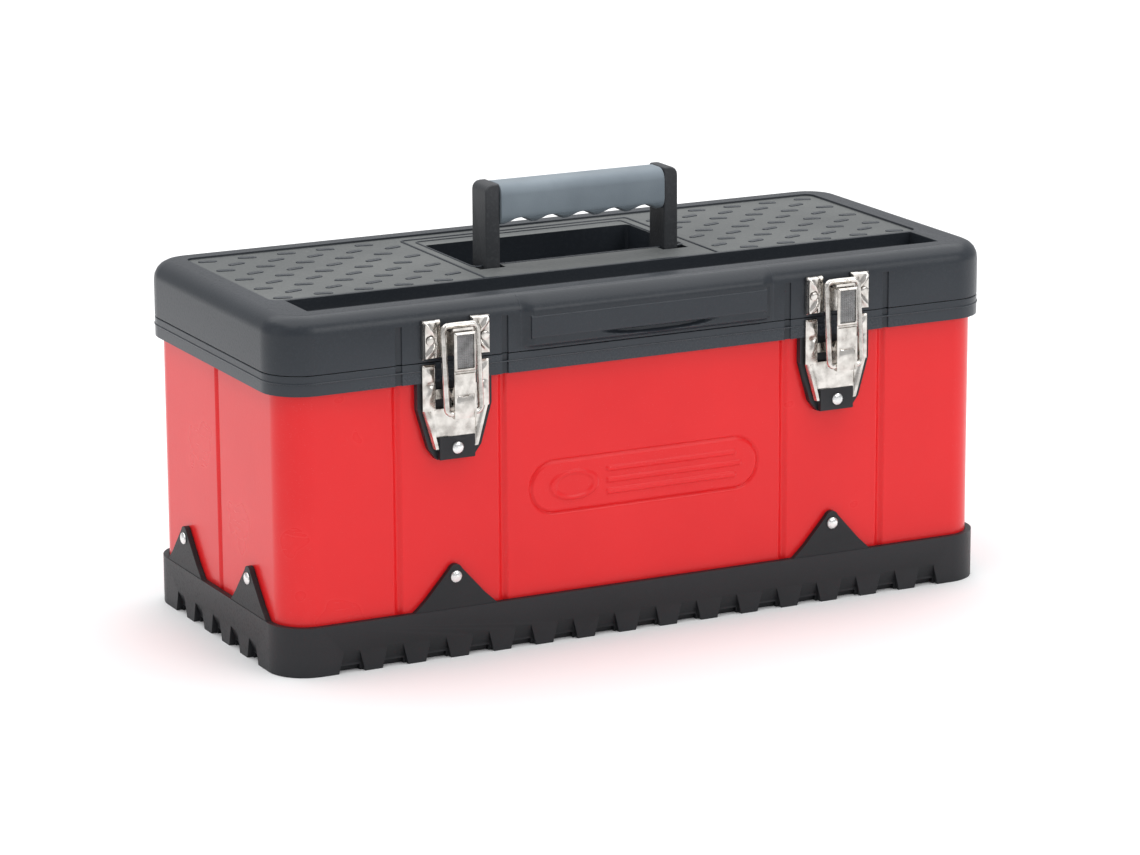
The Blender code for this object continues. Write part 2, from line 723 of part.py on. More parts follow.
def make_rim():
    rim = part("rim_frame", ring_block(-RIM_LIP, RIM_LOW_Z, PARTING_Z), "slate_plastic")
    cut(rim, ring_block(-GAP, RIM_LOW_Z - OVERCUT, PARTING_Z - RIM_WEB), "steel_slot")
    join(rim, ring_block(SKIRT_OUTSIDE, SKIRT_LOW_Z, PARTING_Z - RIM_WEB / 2), "skirt")
    cut(rim, ring_block(SKIRT_INSIDE, LEDGE_TOP_Z, PARTING_Z + OVERCUT), "mouth")
    opening = ring_block(SKIRT_INSIDE + LEDGE_WIDTH, SKIRT_LOW_Z - OVERCUT, LEDGE_TOP_Z + OVERCUT)
    cut(rim, opening, "ledge_opening")
    cut(rim, plastic_grooves(RIM_LOW_Z - OVERCUT, PARTING_Z + OVERCUT), "grooves")
    for side, sign in sides():
        x = sign * LATCH_X
        middle = FRONT - GAP - TONGUE_THICKNESS / 2
        join(rim, plate(tongue_outline(), TONGUE_THICKNESS, facing_front(x, middle)),
             f"tongue_{side}")
        toe_block = block((x - BLOCK_WIDTH / 2, RIM_FRONT - BLOCK_RISE, TONGUE_LOW_Z + GAP),
                          (x + BLOCK_WIDTH / 2, FRONT - TONGUE_THICKNESS, BLOCK_TOP_Z))
        join(rim, toe_block, f"toe_block_{side}")
        hinge_x = sign * HINGE_X
        for index, (x_from, x_to) in enumerate(rim_knuckle_spans(hinge_x)):
            web_low = HINGE_Z - KNUCKLE_ROUND - KNUCKLE_WEB
            barrel, web = knuckle(x_from, x_to, web_low, PARTING_Z - GAP)
            join(rim, barrel, f"barrel_{side}_{index}")
            join(rim, web, f"web_{side}_{index}")
        cut(rim, hinge_hole(hinge_x), f"hinge_hole_{side}")
    holes = []
    for _, sign in sides():
        for _, height in latch_rivet_heights():
            point = (sign * LATCH_X, FRONT - BODY_CORNER - GAP, height)
            holes.append(rivet_hole(point, (0, -1, 0)))
    cut(rim, combine(holes), "rivet_holes")
    for side, sign in sides():
        spans = rim_knuckle_spans(sign * HINGE_X)
        start = (spans[0][0], HINGE_Y, HINGE_Z)
        end = (spans[1][1], HINGE_Y, HINGE_Z)
        part(f"hinge_pin_{side}", rod(start, end, HINGE_PIN, 32), "bright_steel",
             (sign * HINGE_X, HINGE_Y, HINGE_Z))


# Latches

def plate_outline():
    """The base plate's outline: a window's sides above, tapering to a toe below."""
    half = PLATE_WIDTH / 2
    toe = PLATE_TOE / 2
    notch = BLOCK_WIDTH / 2 + GAP
    notch_top = BLOCK_TOP_Z + GAP
    return [(-half, PLATE_TOP_Z), (-half, TONGUE_SHOULDER_Z), (-toe, PLATE_LOW_Z),
            (-notch, PLATE_LOW_Z), (-notch, notch_top), (notch, notch_top),
            (notch, PLATE_LOW_Z), (toe, PLATE_LOW_Z), (half, TONGUE_SHOULDER_Z),
            (half, PLATE_TOP_Z)]


def standing_block(x, width, out_from, out_to, low_z, high_z, radius=0.0):
    """A block centred on x that stands out from the rim's front face."""
    return block((x - width / 2, RIM_FRONT - out_to, low_z),
                 (x + width / 2, RIM_FRONT - out_from, high_z), radius, along=1, segments=4)


def bracket(x):
    """One ear of the bracket that carries the lever, its foot on the plate."""
    foot_low, foot_high = BRACKET_FOOT
    foot_out = GAP + PLATE_THICKNESS / 2
    outline = [(foot_out, PIVOT_Z + foot_high), (foot_out, PIVOT_Z + foot_low)]
    outline += arc((PIVOT_STAND_OFF, PIVOT_Z), BRACKET_ROUND, -110, 70, 8)
    matrix = facing_side(x, -1, RIM_FRONT) @ Matrix.Rotation(pi, 4, "Y")
    return plate(outline, BRACKET_SHEET, matrix)


def make_latch_plate(side, x):
    middle = RIM_FRONT - GAP - PLATE_THICKNESS / 2
    base_plate = part(f"latch_plate_{side}", plate(plate_outline(), PLATE_THICKNESS,
                                                   facing_front(x, middle)), "nickel_plate")
    face = GAP + PLATE_THICKNESS / 2
    for sign in (-1, 1):
        wing_x = x + sign * (PLATE_WIDTH / 2 - EAR_WIDTH / 2)
        wing = standing_block(wing_x, EAR_WIDTH - GAP, face, WING_RISE, TONGUE_SHOULDER_Z + GAP,
                              PLATE_TOP_Z - GAP)
        join(base_plate, wing, f"wing_{sign}")
        ear_x = x + sign * bracket_x()
        join(base_plate, bracket(ear_x), f"bracket_{sign}")
    pin_hole = rod((x - LEVER_WIDTH, RIM_FRONT - PIVOT_STAND_OFF, PIVOT_Z),
                   (x + LEVER_WIDTH, RIM_FRONT - PIVOT_STAND_OFF, PIVOT_Z), LEVER_PIN + RUNNING)
    cut(base_plate, pin_hole, "pin_hole")
    upper = latch_rivet_heights()[1][1]
    cut(base_plate, rivet_hole((x, FRONT, upper), (0, -1, 0)), "rivet_hole")


def bracket_x():
    """How far a bracket ear's middle is from the middle of the latch."""
    return LEVER_WIDTH / 2 - LEVER_SHEET - 2 * GAP - BRACKET_SHEET / 2


def bail_end():
    """Where the bail's ends are held: (out from the rim's face, height)."""
    out = PIVOT_STAND_OFF + BAIL_ARM * sin(BAIL_OVER_CENTRE)
    height = PIVOT_Z - BAIL_ARM * cos(BAIL_OVER_CENTRE)
    return out, height


def flange_outline():
    """The lever's side flange: round the pin and the bail's ends, then up to the sheet."""
    out, height = bail_end()
    web = LEVER_STAND_OFF + LEVER_SHEET / 2
    wall = BAIL_WIRE + RUNNING + FLANGE_WALL
    outline = [(web, LEVER_LOW_Z + GAP), (out, height - wall)]
    outline += arc((out, height), wall, 260, 180, 5)
    outline += arc((PIVOT_STAND_OFF, PIVOT_Z), wall, 180, 135, 3)
    outline += [(web - LEVER_SHEET, PIVOT_Z + FLANGE_RISE), (web, PIVOT_Z + FLANGE_RISE)]
    return outline


def make_lever(side, x):
    low = (x - LEVER_WIDTH / 2, RIM_FRONT - LEVER_FACE, LEVER_LOW_Z)
    high = (x + LEVER_WIDTH / 2, RIM_FRONT - LEVER_STAND_OFF, LEVER_TOP_Z)
    pivot = (x, RIM_FRONT - PIVOT_STAND_OFF, PIVOT_Z)
    lever = part(f"latch_lever_{side}", block(low, high, PRESSED_ROUND, along=1, segments=3),
                 "nickel_plate", pivot)
    out, height = bail_end()
    for sign in (-1, 1):
        flange_x = x + sign * (LEVER_WIDTH - LEVER_SHEET) / 2
        matrix = facing_side(flange_x, -1, RIM_FRONT) @ Matrix.Rotation(pi, 4, "Y")
        join(lever, plate(flange_outline(), LEVER_SHEET, matrix), f"flange_{sign}")
    half = LEVER_WIDTH
    pin_hole = rod((x - half, *pivot[1:]), (x + half, *pivot[1:]), LEVER_PIN + RUNNING)
    bail_hole = rod((x - half, RIM_FRONT - out, height), (x + half, RIM_FRONT - out, height),
                    BAIL_WIRE + RUNNING)
    cut(lever, pin_hole, "pin_hole")
    cut(lever, bail_hole, "bail_hole")
    pin_half = LEVER_WIDTH / 2
    pin = rod((x - pin_half, *pivot[1:]), (x + pin_half, *pivot[1:]), LEVER_PIN, 20)
    part(f"lever_pin_{side}", pin, "bright_steel", pivot)


def bail_route(x):
    """The wire's centre line: in at each end, up the legs and over the rung."""
    out, height = bail_end()
    low = Vector((0, RIM_FRONT - out, height))
    high = Vector((0, RIM_FRONT - RUNG_STAND_OFF, RUNG_Z))
    up = (high - low).normalized()
    inside = LEVER_WIDTH / 2 - LEVER_SHEET
    route = [Vector((-inside, 0, 0)) + low]
    for corner, start in ((low, 270), (high, 180)):
        into = up if corner is low else -up
        centre = corner + Vector((-BAIL_HALF_WIDTH + BAIL_BEND, 0, 0)) + into * BAIL_BEND
        for across, rise in arc((0, 0), BAIL_BEND, start, start - 90, 4):
            route.append(centre + Vector((across, 0, 0)) + up * rise)
    mirrored = [Vector((-point.x, point.y, point.z)) for point in reversed(route)]
    return [point + Vector((x, 0, 0)) for point in route + mirrored]


def make_bail(side, x):
    curve = bpy.data.curves.new("bail", "CURVE")
    curve.dimensions = "3D"
    curve.bevel_depth = BAIL_WIRE
    curve.bevel_resolution = 2
    curve.use_fill_caps = True
    route = bail_route(x)
    spline = curve.splines.new("POLY")
    spline.points.add(len(route) - 1)
    for point, place_at in zip(spline.points, route):
        point.co = (*place_at, 1)
    out, height = bail_end()
    part(f"latch_bail_{side}", curve_to_mesh(curve), "nickel_plate",
         (x, RIM_FRONT - out, height))


def make_keeper(side, x):
    low_z = KEEPER_LOW_Z
    keeper = part(f"keeper_plate_{side}",
                  standing_block(x, PLATE_WIDTH, GAP, GAP + PLATE_THICKNESS, low_z,
                                 KEEPER_TOP_Z, PRESSED_ROUND), "nickel_plate")
    face = GAP + PLATE_THICKNESS / 2
    for sign in (-1, 1):
        ear_x = x + sign * (PLATE_WIDTH - EAR_WIDTH) / 2
        ear = standing_block(ear_x, EAR_WIDTH - GAP, face, EAR_RISE, low_z + GAP,
                             KEEPER_TOP_Z - GAP, PRESSED_ROUND)
        join(keeper, ear, f"ear_{sign}")
    shelf_top = RUNG_Z - BAIL_WIRE - GAP
    lip_inside = RUNG_STAND_OFF + BAIL_WIRE + HOOK_MARGIN
    lip_outside = lip_inside + HOOK_THICKNESS
    shelf = standing_block(x, HOOK_WIDTH, face, lip_outside, shelf_top - HOOK_THICKNESS, shelf_top)
    lip = standing_block(x, HOOK_WIDTH, lip_inside, lip_outside, shelf_top - HOOK_THICKNESS / 2,
                         shelf_top + HOOK_LIP_RISE)
    join(keeper, shelf, "hook_shelf")
    join(keeper, lip, "hook_lip")
    cut(keeper, combine([keeper_hole(x, sign) for sign in (-1, 1)]), "rivet_holes")


def keeper_rivet_point(x, sign, out):
    height = (KEEPER_LOW_Z + KEEPER_TOP_Z) / 2
    return (x + sign * (PLATE_WIDTH - EAR_WIDTH) / 2, RIM_FRONT - out, height)


def keeper_hole(x, sign):
    return rivet_hole(keeper_rivet_point(x, sign, 0), (0, -1, 0))


def make_latches():
    for side, sign in sides():
        x = sign * LATCH_X
        make_latch_plate(side, x)
        make_lever(side, x)
        make_bail(side, x)
        make_keeper(side, x)
        lower, upper = latch_rivet_heights()
        sheet_back = RIM_LIP + SHEET
        rivet(f"latch_rivet_lower_{side}", (x, RIM_FRONT - BLOCK_RISE, lower[1]), (0, -1, 0),
              sheet_back + BLOCK_RISE)
        plate_face = GAP + PLATE_THICKNESS
        rivet(f"latch_rivet_upper_{side}", (x, RIM_FRONT - plate_face, upper[1]), (0, -1, 0),
              sheet_back + plate_face)
        for end, ear in sides():
            rivet(f"keeper_rivet_{side}_{end}", keeper_rivet_point(x, ear, EAR_RISE), (0, -1, 0),
                  EAR_RISE + LID_WALL)


# Lid

def lid_block():
    half_length = BODY_LENGTH / 2 + RIM_LIP
    half_width = BODY_WIDTH / 2 + RIM_LIP
    bm = box_bmesh((-half_length, BODY_Y - half_width, LID_LOW_Z),
                   (half_length, BODY_Y + half_width, LID_TOP_Z))
    round_edges(bm, BODY_CORNER + RIM_LIP, 2, 8)
    top = [edge for edge in bm.edges
           if min(edge.verts[0].co.z, edge.verts[1].co.z) > LID_TOP_Z - GAP]
    bmesh.ops.bevel(bm, geom=top, offset=LID_EDGE, segments=5, profile=0.5, affect="EDGES",
                    clamp_overlap=True)
    return to_mesh(bm)


def lid_well(grow, floor_z, top_z):
    """The handle's well, or the walls round it when it is grown."""
    main = block((-WELL_HALF_LENGTH - grow, WELL_FRONT_Y - grow, floor_z),
                 (WELL_HALF_LENGTH + grow, WELL_BACK_Y + grow, top_z), WELL_CORNER, segments=3)
    return main


def leg_notch(sign, grow, floor_z, top_z):
    """The well's notch for one leg, or the walls round it when it is grown."""
    outer = WELL_HALF_LENGTH + grow
    inner = WELL_HALF_LENGTH - LEG_NOTCH_WIDTH - grow
    front = HANDLE_Y - LEG_DEPTH / 2 - LEG_ROOM - grow
    back = WELL_FRONT_Y + LEG_NOTCH_OVERLAP
    low_x, high_x = sorted((sign * inner, sign * outer))
    return block((low_x, front, floor_z), (high_x, back, top_z))


def make_lid():
    lid = part("lid_shell", lid_block(), "slate_plastic", (0, HINGE_Y, HINGE_Z))
    wall = LID_WALL - RIM_LIP
    trough_floor = LID_TOP_Z - TROUGH_DEPTH
    low_ceiling = trough_floor - LID_WALL
    high_ceiling = PANEL_Z - LID_WALL
    cut(lid, ring_block(wall, LID_LOW_Z - OVERCUT, low_ceiling), "hollow")
    panel_half = BODY_LENGTH / 2 + RIM_LIP - PANEL_MARGIN
    panel_back = RIM_BACK - PANEL_BACK_MARGIN
    upper = block((-panel_half + LID_WALL, PANEL_FRONT_Y + LID_WALL, low_ceiling - OVERCUT),
                  (panel_half - LID_WALL, panel_back - LID_WALL, high_ceiling), PANEL_CORNER - LID_WALL)
    cut(lid, upper, "upper_hollow")
    roof = high_ceiling + LID_WALL / 2
    join(lid, lid_well(WELL_WALL, WELL_FLOOR_Z - WELL_WALL, roof), "well_walls")
    for side, sign in sides():
        walls = leg_notch(sign, WELL_WALL, WELL_FLOOR_Z - WELL_WALL, roof)
        join(lid, walls, f"notch_walls_{side}")
    open_z = LID_TOP_Z + OVERCUT
    cut(lid, lid_well(0, WELL_FLOOR_Z, open_z), "well")
    for side, sign in sides():
        cut(lid, leg_notch(sign, 0, WELL_FLOOR_Z, open_z), f"notch_{side}")
    panel = block((-panel_half, PANEL_FRONT_Y, PANEL_Z), (panel_half, panel_back, open_z), PANEL_CORNER)
    cut(lid, panel, "panel")
    trough = block((-TROUGH_HALF_LENGTH, TROUGH_FRONT_Y, trough_floor),
                   (TROUGH_HALF_LENGTH, PANEL_FRONT_Y - LID_WALL, open_z))
    cut(lid, trough, "trough")
    bulge_z = PARTING_Z + BULGE_LOW
    bulge = block((-BULGE_HALF_LENGTH, RIM_FRONT - BULGE_RISE, bulge_z),
                  (BULGE_HALF_LENGTH, RIM_FRONT + LID_WALL / 2, bulge_z + BULGE_HEIGHT),
                  BULGE_ROUND, along=0)
    join(lid, bulge, "bulge")
    cut(lid, plastic_grooves(LID_LOW_Z - OVERCUT, LID_TOP_Z - LID_EDGE), "grooves")
    for side, sign in sides():
        x = sign * HINGE_X
        half = LID_KNUCKLE_LENGTH / 2
        web_high = HINGE_Z + KNUCKLE_ROUND + KNUCKLE_WEB
        barrel, web = knuckle(x - half, x + half, LID_LOW_Z + GAP, web_high)
        join(lid, barrel, f"barrel_{side}")
        join(lid, web, f"web_{side}")
        cut(lid, hinge_hole(x), f"hinge_hole_{side}")
        holes = [keeper_hole(sign * LATCH_X, ear) for _, ear in sides()]
        cut(lid, combine(holes), f"keeper_holes_{side}")
        pin_start = (sign * (HANDLE_HALF_WIDTH - LEG_WIDTH - GAP), HANDLE_Y, LEG_PIVOT_Z)
        pin_end = (sign * (WELL_HALF_LENGTH + WELL_WALL), HANDLE_Y, LEG_PIVOT_Z)
        hole_end = (sign * (WELL_HALF_LENGTH + WELL_WALL + OVERCUT), HANDLE_Y, LEG_PIVOT_Z)
        cut(lid, rod(pin_start, hole_end, HANDLE_PIN + RUNNING, 32), f"handle_pin_hole_{side}")
        part(f"handle_pin_{side}", rod(pin_start, pin_end, HANDLE_PIN, 32), "bright_steel",
             (0, HANDLE_Y, LEG_PIVOT_Z))


# Handle

def make_handle():
    pivot = (0, HANDLE_Y, LEG_PIVOT_Z)
    half_depth = LEG_DEPTH / 2
    leg_x = HANDLE_HALF_WIDTH - LEG_WIDTH
    bar_top = HANDLE_TOP_Z - BAR_DROP
    bar = block((-leg_x - GAP, HANDLE_Y - BAR_DEPTH / 2, bar_top - BAR_HEIGHT),
                (leg_x + GAP, HANDLE_Y + BAR_DEPTH / 2, bar_top))
    frame = part("handle_frame", bar, "black_plastic", pivot)
    for side, sign in sides():
        low_x, high_x = sorted((sign * leg_x, sign * HANDLE_HALF_WIDTH))
        bm = box_bmesh((low_x, HANDLE_Y - half_depth, LEG_PIVOT_Z),
                       (high_x, HANDLE_Y + half_depth, HANDLE_TOP_Z))
        round_edges(bm, HANDLE_CORNER, 1, 4,
                    lambda middle: abs(middle.x) > leg_x + GAP and middle.z > HANDLE_TOP_Z - GAP)
        leg = to_mesh(bm)
        join(frame, leg, f"leg_{side}")
        ends = ((low_x, *pivot[1:]), (high_x, *pivot[1:]))
        join(frame, rod(*ends, half_depth, 32), f"leg_end_{side}")
        hub_end = sign * (WELL_HALF_LENGTH - 2 * GAP)
        hub = rod((sign * (HANDLE_HALF_WIDTH - LEG_WIDTH / 2), *pivot[1:]),
                  (hub_end, *pivot[1:]), HUB_ROUND, 32)
        join(frame, hub, f"hub_{side}")
    pin_reach = WELL_HALF_LENGTH + OVERCUT
    pin_hole = rod((-pin_reach, *pivot[1:]), (pin_reach, *pivot[1:]), HANDLE_PIN + RUNNING, 32)
    cut(frame, pin_hole, "pin_hole")
    make_grip(pivot, leg_x)


def make_grip(pivot, leg_x):
    """A sleeve over the bar, with finger hollows along its underside."""
    half_length = leg_x - GAP
    low_z = HANDLE_TOP_Z - GRIP_HEIGHT
    bm = box_bmesh((-half_length, HANDLE_Y - GRIP_DEPTH / 2, low_z),
                   (half_length, HANDLE_Y + GRIP_DEPTH / 2, HANDLE_TOP_Z - GAP))
    round_edges(bm, GRIP_ROUND, 0, 5)
    grip = part("handle_grip", to_mesh(bm), "grey_rubber", pivot)
    bar_top = HANDLE_TOP_Z - BAR_DROP
    core = block((-leg_x - OVERCUT, HANDLE_Y - BAR_DEPTH / 2 - GAP, bar_top - BAR_HEIGHT - GAP),
                 (leg_x + OVERCUT, HANDLE_Y + BAR_DEPTH / 2 + GAP, bar_top + GAP))
    cut(grip, core, "core")
    centre_z = low_z + SCALLOP_DEPTH - SCALLOP_RADIUS
    for index in range(SCALLOPS):
        x = (index - (SCALLOPS - 1) / 2) * SCALLOP_PITCH
        finger = rod((x, HANDLE_Y - GRIP_DEPTH, centre_z), (x, HANDLE_Y + GRIP_DEPTH, centre_z),
                     SCALLOP_RADIUS, 40)
        cut(grip, finger, f"finger_{index}")


# Tray

def make_tray():
    tray = part("tote_tray", ring_block(TRAY_INSET, TRAY_FLOOR_Z, TRAY_RIM_Z), "grey_plastic")
    flange = ring_block(TRAY_FLANGE_INSET, TRAY_RIM_Z - TRAY_FLANGE, TRAY_RIM_Z)
    join(tray, flange, "flange")
    inside = TRAY_INSET + TRAY_WALL
    floor_top = TRAY_FLOOR_Z + TRAY_WALL
    cut(tray, ring_block(inside, floor_top, TRAY_RIM_Z + OVERCUT), "inside")
    half_length = BODY_LENGTH / 2 - TRAY_INSET - TRAY_WALL / 2
    half_grip = TRAY_GRIP_THICKNESS / 2
    grip = block((-half_length, BODY_Y - half_grip, TRAY_FLOOR_Z + TRAY_WALL / 2),
                 (half_length, BODY_Y + half_grip, TRAY_RIM_Z - TRAY_FLANGE))
    join(tray, grip, "spine")
    crest_half = TRAY_SLOT_LENGTH / 2 + 2 * TRAY_GRIP_THICKNESS
    crest = block((-crest_half, BODY_Y - half_grip, floor_top),
                  (crest_half, BODY_Y + half_grip, TRAY_GRIP_TOP_Z), TRAY_CREST_ROUND, along=1)
    join(tray, crest, "crest")
    slot_top = TRAY_GRIP_TOP_Z - TRAY_SLOT_DROP
    slot = block((-TRAY_SLOT_LENGTH / 2, BODY_Y - TRAY_GRIP_THICKNESS, slot_top - TRAY_SLOT_HEIGHT),
                 (TRAY_SLOT_LENGTH / 2, BODY_Y + TRAY_GRIP_THICKNESS, slot_top),
                 TRAY_SLOT_ROUND, along=1)
    cut(tray, slot, "hand_slot")
    make_dividers(tray, floor_top, inside)


def make_dividers(tray, floor_top, inside):
    """A loose divider each side of the tray's handle, held between pairs of guides."""
    front_y = BODY_Y - BODY_WIDTH / 2 + inside
    spine_y = BODY_Y - TRAY_GRIP_THICKNESS / 2
    back_y = BODY_Y + BODY_WIDTH / 2 - inside
    bays = (("left", -1, front_y, spine_y), ("right", 1, spine_y + TRAY_GRIP_THICKNESS, back_y))
    for side, sign, near_y, far_y in bays:
        x = sign * DIVIDER_X
        corners = []
        for beside in (-1, 1):
            low_x, high_x = sorted((x + beside * (DIVIDER_THICKNESS / 2 + GAP),
                                    x + beside * (DIVIDER_THICKNESS / 2 + GAP
                                                  + DIVIDER_GUIDE_WIDTH)))
            for low_y, high_y in ((near_y - TRAY_WALL / 2, near_y + DIVIDER_GUIDE),
                                  (far_y - DIVIDER_GUIDE, far_y + TRAY_WALL / 2)):
                corners.append(((low_x, low_y, floor_top - TRAY_WALL / 2),
                                (high_x, high_y, floor_top + DIVIDER_HEIGHT)))
        join(tray, blocks(corners), f"guides_{side}")
        divider = block((x - DIVIDER_THICKNESS / 2, near_y + GAP, floor_top + GAP),
                        (x + DIVIDER_THICKNESS / 2, far_y - GAP, floor_top + DIVIDER_HEIGHT))
        part(f"tray_divider_{side}", divider, "grey_plastic")


make_base()
make_body()
make_rim()
make_latches()
make_lid()
make_handle()
make_tray()
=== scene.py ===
"""Looks of the toolbox: painted sheet steel, grained plastic and nickel-plated latches.

Everything is in metres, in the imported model's own frame: the front faces -Y and the floor is Z = 0.
"""

import json
from math import ceil, cos, exp, hypot, pi, radians, sin, sqrt

import bmesh
import bpy
from mathutils import Matrix, Vector


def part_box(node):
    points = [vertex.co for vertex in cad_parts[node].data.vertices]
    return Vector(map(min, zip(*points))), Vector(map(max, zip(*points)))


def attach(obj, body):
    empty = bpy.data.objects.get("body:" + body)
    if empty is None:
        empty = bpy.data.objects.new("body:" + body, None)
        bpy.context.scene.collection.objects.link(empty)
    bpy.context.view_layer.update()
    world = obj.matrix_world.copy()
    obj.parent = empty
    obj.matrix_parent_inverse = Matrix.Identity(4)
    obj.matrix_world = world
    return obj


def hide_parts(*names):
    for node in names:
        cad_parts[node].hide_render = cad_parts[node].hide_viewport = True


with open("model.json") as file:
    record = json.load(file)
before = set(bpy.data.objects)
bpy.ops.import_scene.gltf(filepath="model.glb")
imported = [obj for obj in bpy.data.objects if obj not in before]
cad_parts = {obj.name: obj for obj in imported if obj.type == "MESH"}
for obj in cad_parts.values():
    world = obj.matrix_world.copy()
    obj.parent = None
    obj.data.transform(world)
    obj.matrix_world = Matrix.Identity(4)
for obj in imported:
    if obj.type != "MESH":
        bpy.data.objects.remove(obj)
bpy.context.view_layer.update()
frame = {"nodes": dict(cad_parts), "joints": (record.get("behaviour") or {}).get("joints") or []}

MM = 0.001


def joint_point(name):
    """Where a joint's axis passes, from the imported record."""
    named = [joint for joint in frame["joints"] if joint["name"] == name]
    return Vector(named[0]["pos_m"])


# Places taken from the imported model
TRAY_LOW, TRAY_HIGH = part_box("tote_tray")
STEEL_LOW, STEEL_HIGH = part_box("steel_body")
LID_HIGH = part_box("lid_shell")[1]
BODY_Y = (TRAY_LOW.y + TRAY_HIGH.y) / 2     # the middle of the box, front to back
HALF_LENGTH = STEEL_HIGH.x
HALF_WIDTH = STEEL_HIGH.y - BODY_Y
FRONT = BODY_Y - HALF_WIDTH             # outside of the steel at the front
LIP = LID_HIGH.x - STEEL_HIGH.x         # how far the rim and lid stand out from it
RIM_FRONT = FRONT - LIP
RIM_BACK = 2 * BODY_Y - RIM_FRONT
LEVER_PIVOT = joint_point("lever_left_flip")
HANDLE_PIVOT = joint_point("handle_fold")
BAIL_PIVOT = joint_point("bail_left_swing")
LATCH_X = abs(LEVER_PIVOT.x)
PLATE_LOW_Z, PLATE_TOP_Z = (corner.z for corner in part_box("latch_plate_left"))
KEEPER_LOW_Z, KEEPER_TOP_Z = (corner.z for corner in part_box("keeper_plate_left"))
LEVER_LOW_Z, LEVER_TOP_Z = (corner.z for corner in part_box("latch_lever_left"))
LEVER_FACE = RIM_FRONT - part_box("latch_lever_left")[0].y
PARTING_Z = PLATE_TOP_Z + 1 * MM        # where the lid meets the rim
BASE_LIP_Z = 30 * MM
LID_TOP_Z = PARTING_Z + 34 * MM
PANEL_Z = LID_TOP_Z - 1.5 * MM          # the sunk panels of the lid's top
LID_EDGE = 11 * MM                      # the rounding round the top of the lid

# Steel body
CORNER = 20 * MM
CORNER_STEPS = 10
SHEET = 0.8 * MM
GROOVE_DEPTH = 2.0 * MM
GROOVE_WIDTH = 7.0 * MM
GROOVE_STEPS = 16
GROOVES_X = (-163.5 * MM, -95 * MM, 95 * MM, 163.5 * MM)

# Badge, the blank cartouche in the front
BADGE_HALF = 77.5 * MM
BADGE_ROUND = 16.5 * MM                 # half its height, and the radius of its ends
BADGE_Z = BASE_LIP_Z + 65 * MM
BADGE_FIELD = 0.5 * MM                  # how far its ground stands out
BADGE_EMBOSS = 0.9 * MM                 # how far its oval and ribs stand out from the ground
BADGE_MARGIN = 2 * MM                   # the fine mesh goes this far past it
BADGE_PITCH = 0.62 * MM
OVAL_X = -48 * MM
OVAL_HALF_X = 17 * MM
OVAL_HALF_Z = 9.5 * MM
RIBS_UP = (-7 * MM, 0, 7 * MM)
RIB_LEFT = -25 * MM
RIB_RIGHT = 64 * MM
RIB_HALF = 1.9 * MM

# Base and rim
NOTCH_PITCH = 28 * MM
FRONT_NOTCHES = 7                       # to each side of the middle one, front and back
END_NOTCHES = 2
NOTCH_HALF = 8.6 * MM                   # at the floor
NOTCH_TAPER = 0.27                      # how much it narrows on each side per unit of height
NOTCH_OUTER = (1 * MM, 15.5 * MM)       # out from the base's face, and height, at its mouth
NOTCH_INNER = (-3.6 * MM, 5.5 * MM)
RIM_LINE_DROP = 4.6 * MM                # of the fine bead round the rim, below the parting
RIM_LINE_ROUND = 0.5 * MM

# Lid
PANEL_HALF = HALF_LENGTH + LIP - 21 * MM
PANEL_FRONT = RIM_FRONT + 55 * MM
PANEL_BACK = RIM_BACK - 19 * MM
WELL_HALF = 71 * MM
WELL_FRONT = HANDLE_PIVOT.y - 4 * MM
WELL_BACK = 72.1 * MM
WELL_CORNER = 3 * MM
WELL_MARGIN = 8 * MM                    # of plain plastic round the handle's well
BROW_HALF = 85 * MM
BROW_RISE = 2.6 * MM
FINGER_X = 6 * MM                       # the finger hollow's middle
FINGER_UP = 7.4 * MM                    # its height over the parting
FINGER_HALF_X = 40 * MM
FINGER_HALF_Z = 3.6 * MM
TREAD_PITCH = 26 * MM
TREAD_ROW_PITCH = 14.5 * MM
TREAD_LEAN = 14                         # degrees
TREAD_HALF = 4.0 * MM                   # between the middles of its ends
TREAD_ROUND = 1.8 * MM                  # the radius of its ends
TREAD_RISE = 0.8 * MM

# Latches
PLATE_HALF = 21.5 * MM                  # half the width of the latch plate and the keeper
PLATE_BACK = 0.3 * MM                   # their backs stand just clear of the plastic
PLATE_FACE = 1.5 * MM                   # from the rim's face to their flat faces
WING_INNER = 12.5 * MM                  # where the plate's raised sides begin
SHOULDER_Z = PARTING_Z - 28 * MM        # below this the plate tapers
APRON_FOOT = 14.5 * MM                  # half the plate's width at its foot
APRON_FLARE = 7 * MM                    # and what each side gains up to the shoulder
LUG_ROUND = 2.7 * MM
EAR_INNER = 9.7 * MM
EAR_FACE = 3.6 * MM
EAR_CORNER = 2 * MM
EAR_MARKED = 12 * MM                    # the ear is plain nearer the middle than this
HOOK_HALF = 6.5 * MM
HOOK_REACH = 12.5 * MM
HOOK_SHEET = 1.6 * MM
LEVER_HALF = 7 * MM
LEVER_BACK = 14.4 * MM                  # from the rim's face to the back of the lever
FLANGE_ROUND = 3 * MM
PAD_HEIGHT = 23 * MM                    # of the knurled pad at the lever's upper end
PAD_LOW_Z = LEVER_TOP_Z - PAD_HEIGHT
PAD_BORDER = 1.5 * MM
KNURL_PITCH = 1.45 * MM
PRESSING_PITCH = 0.5 * MM               # the mesh's step up a pressing

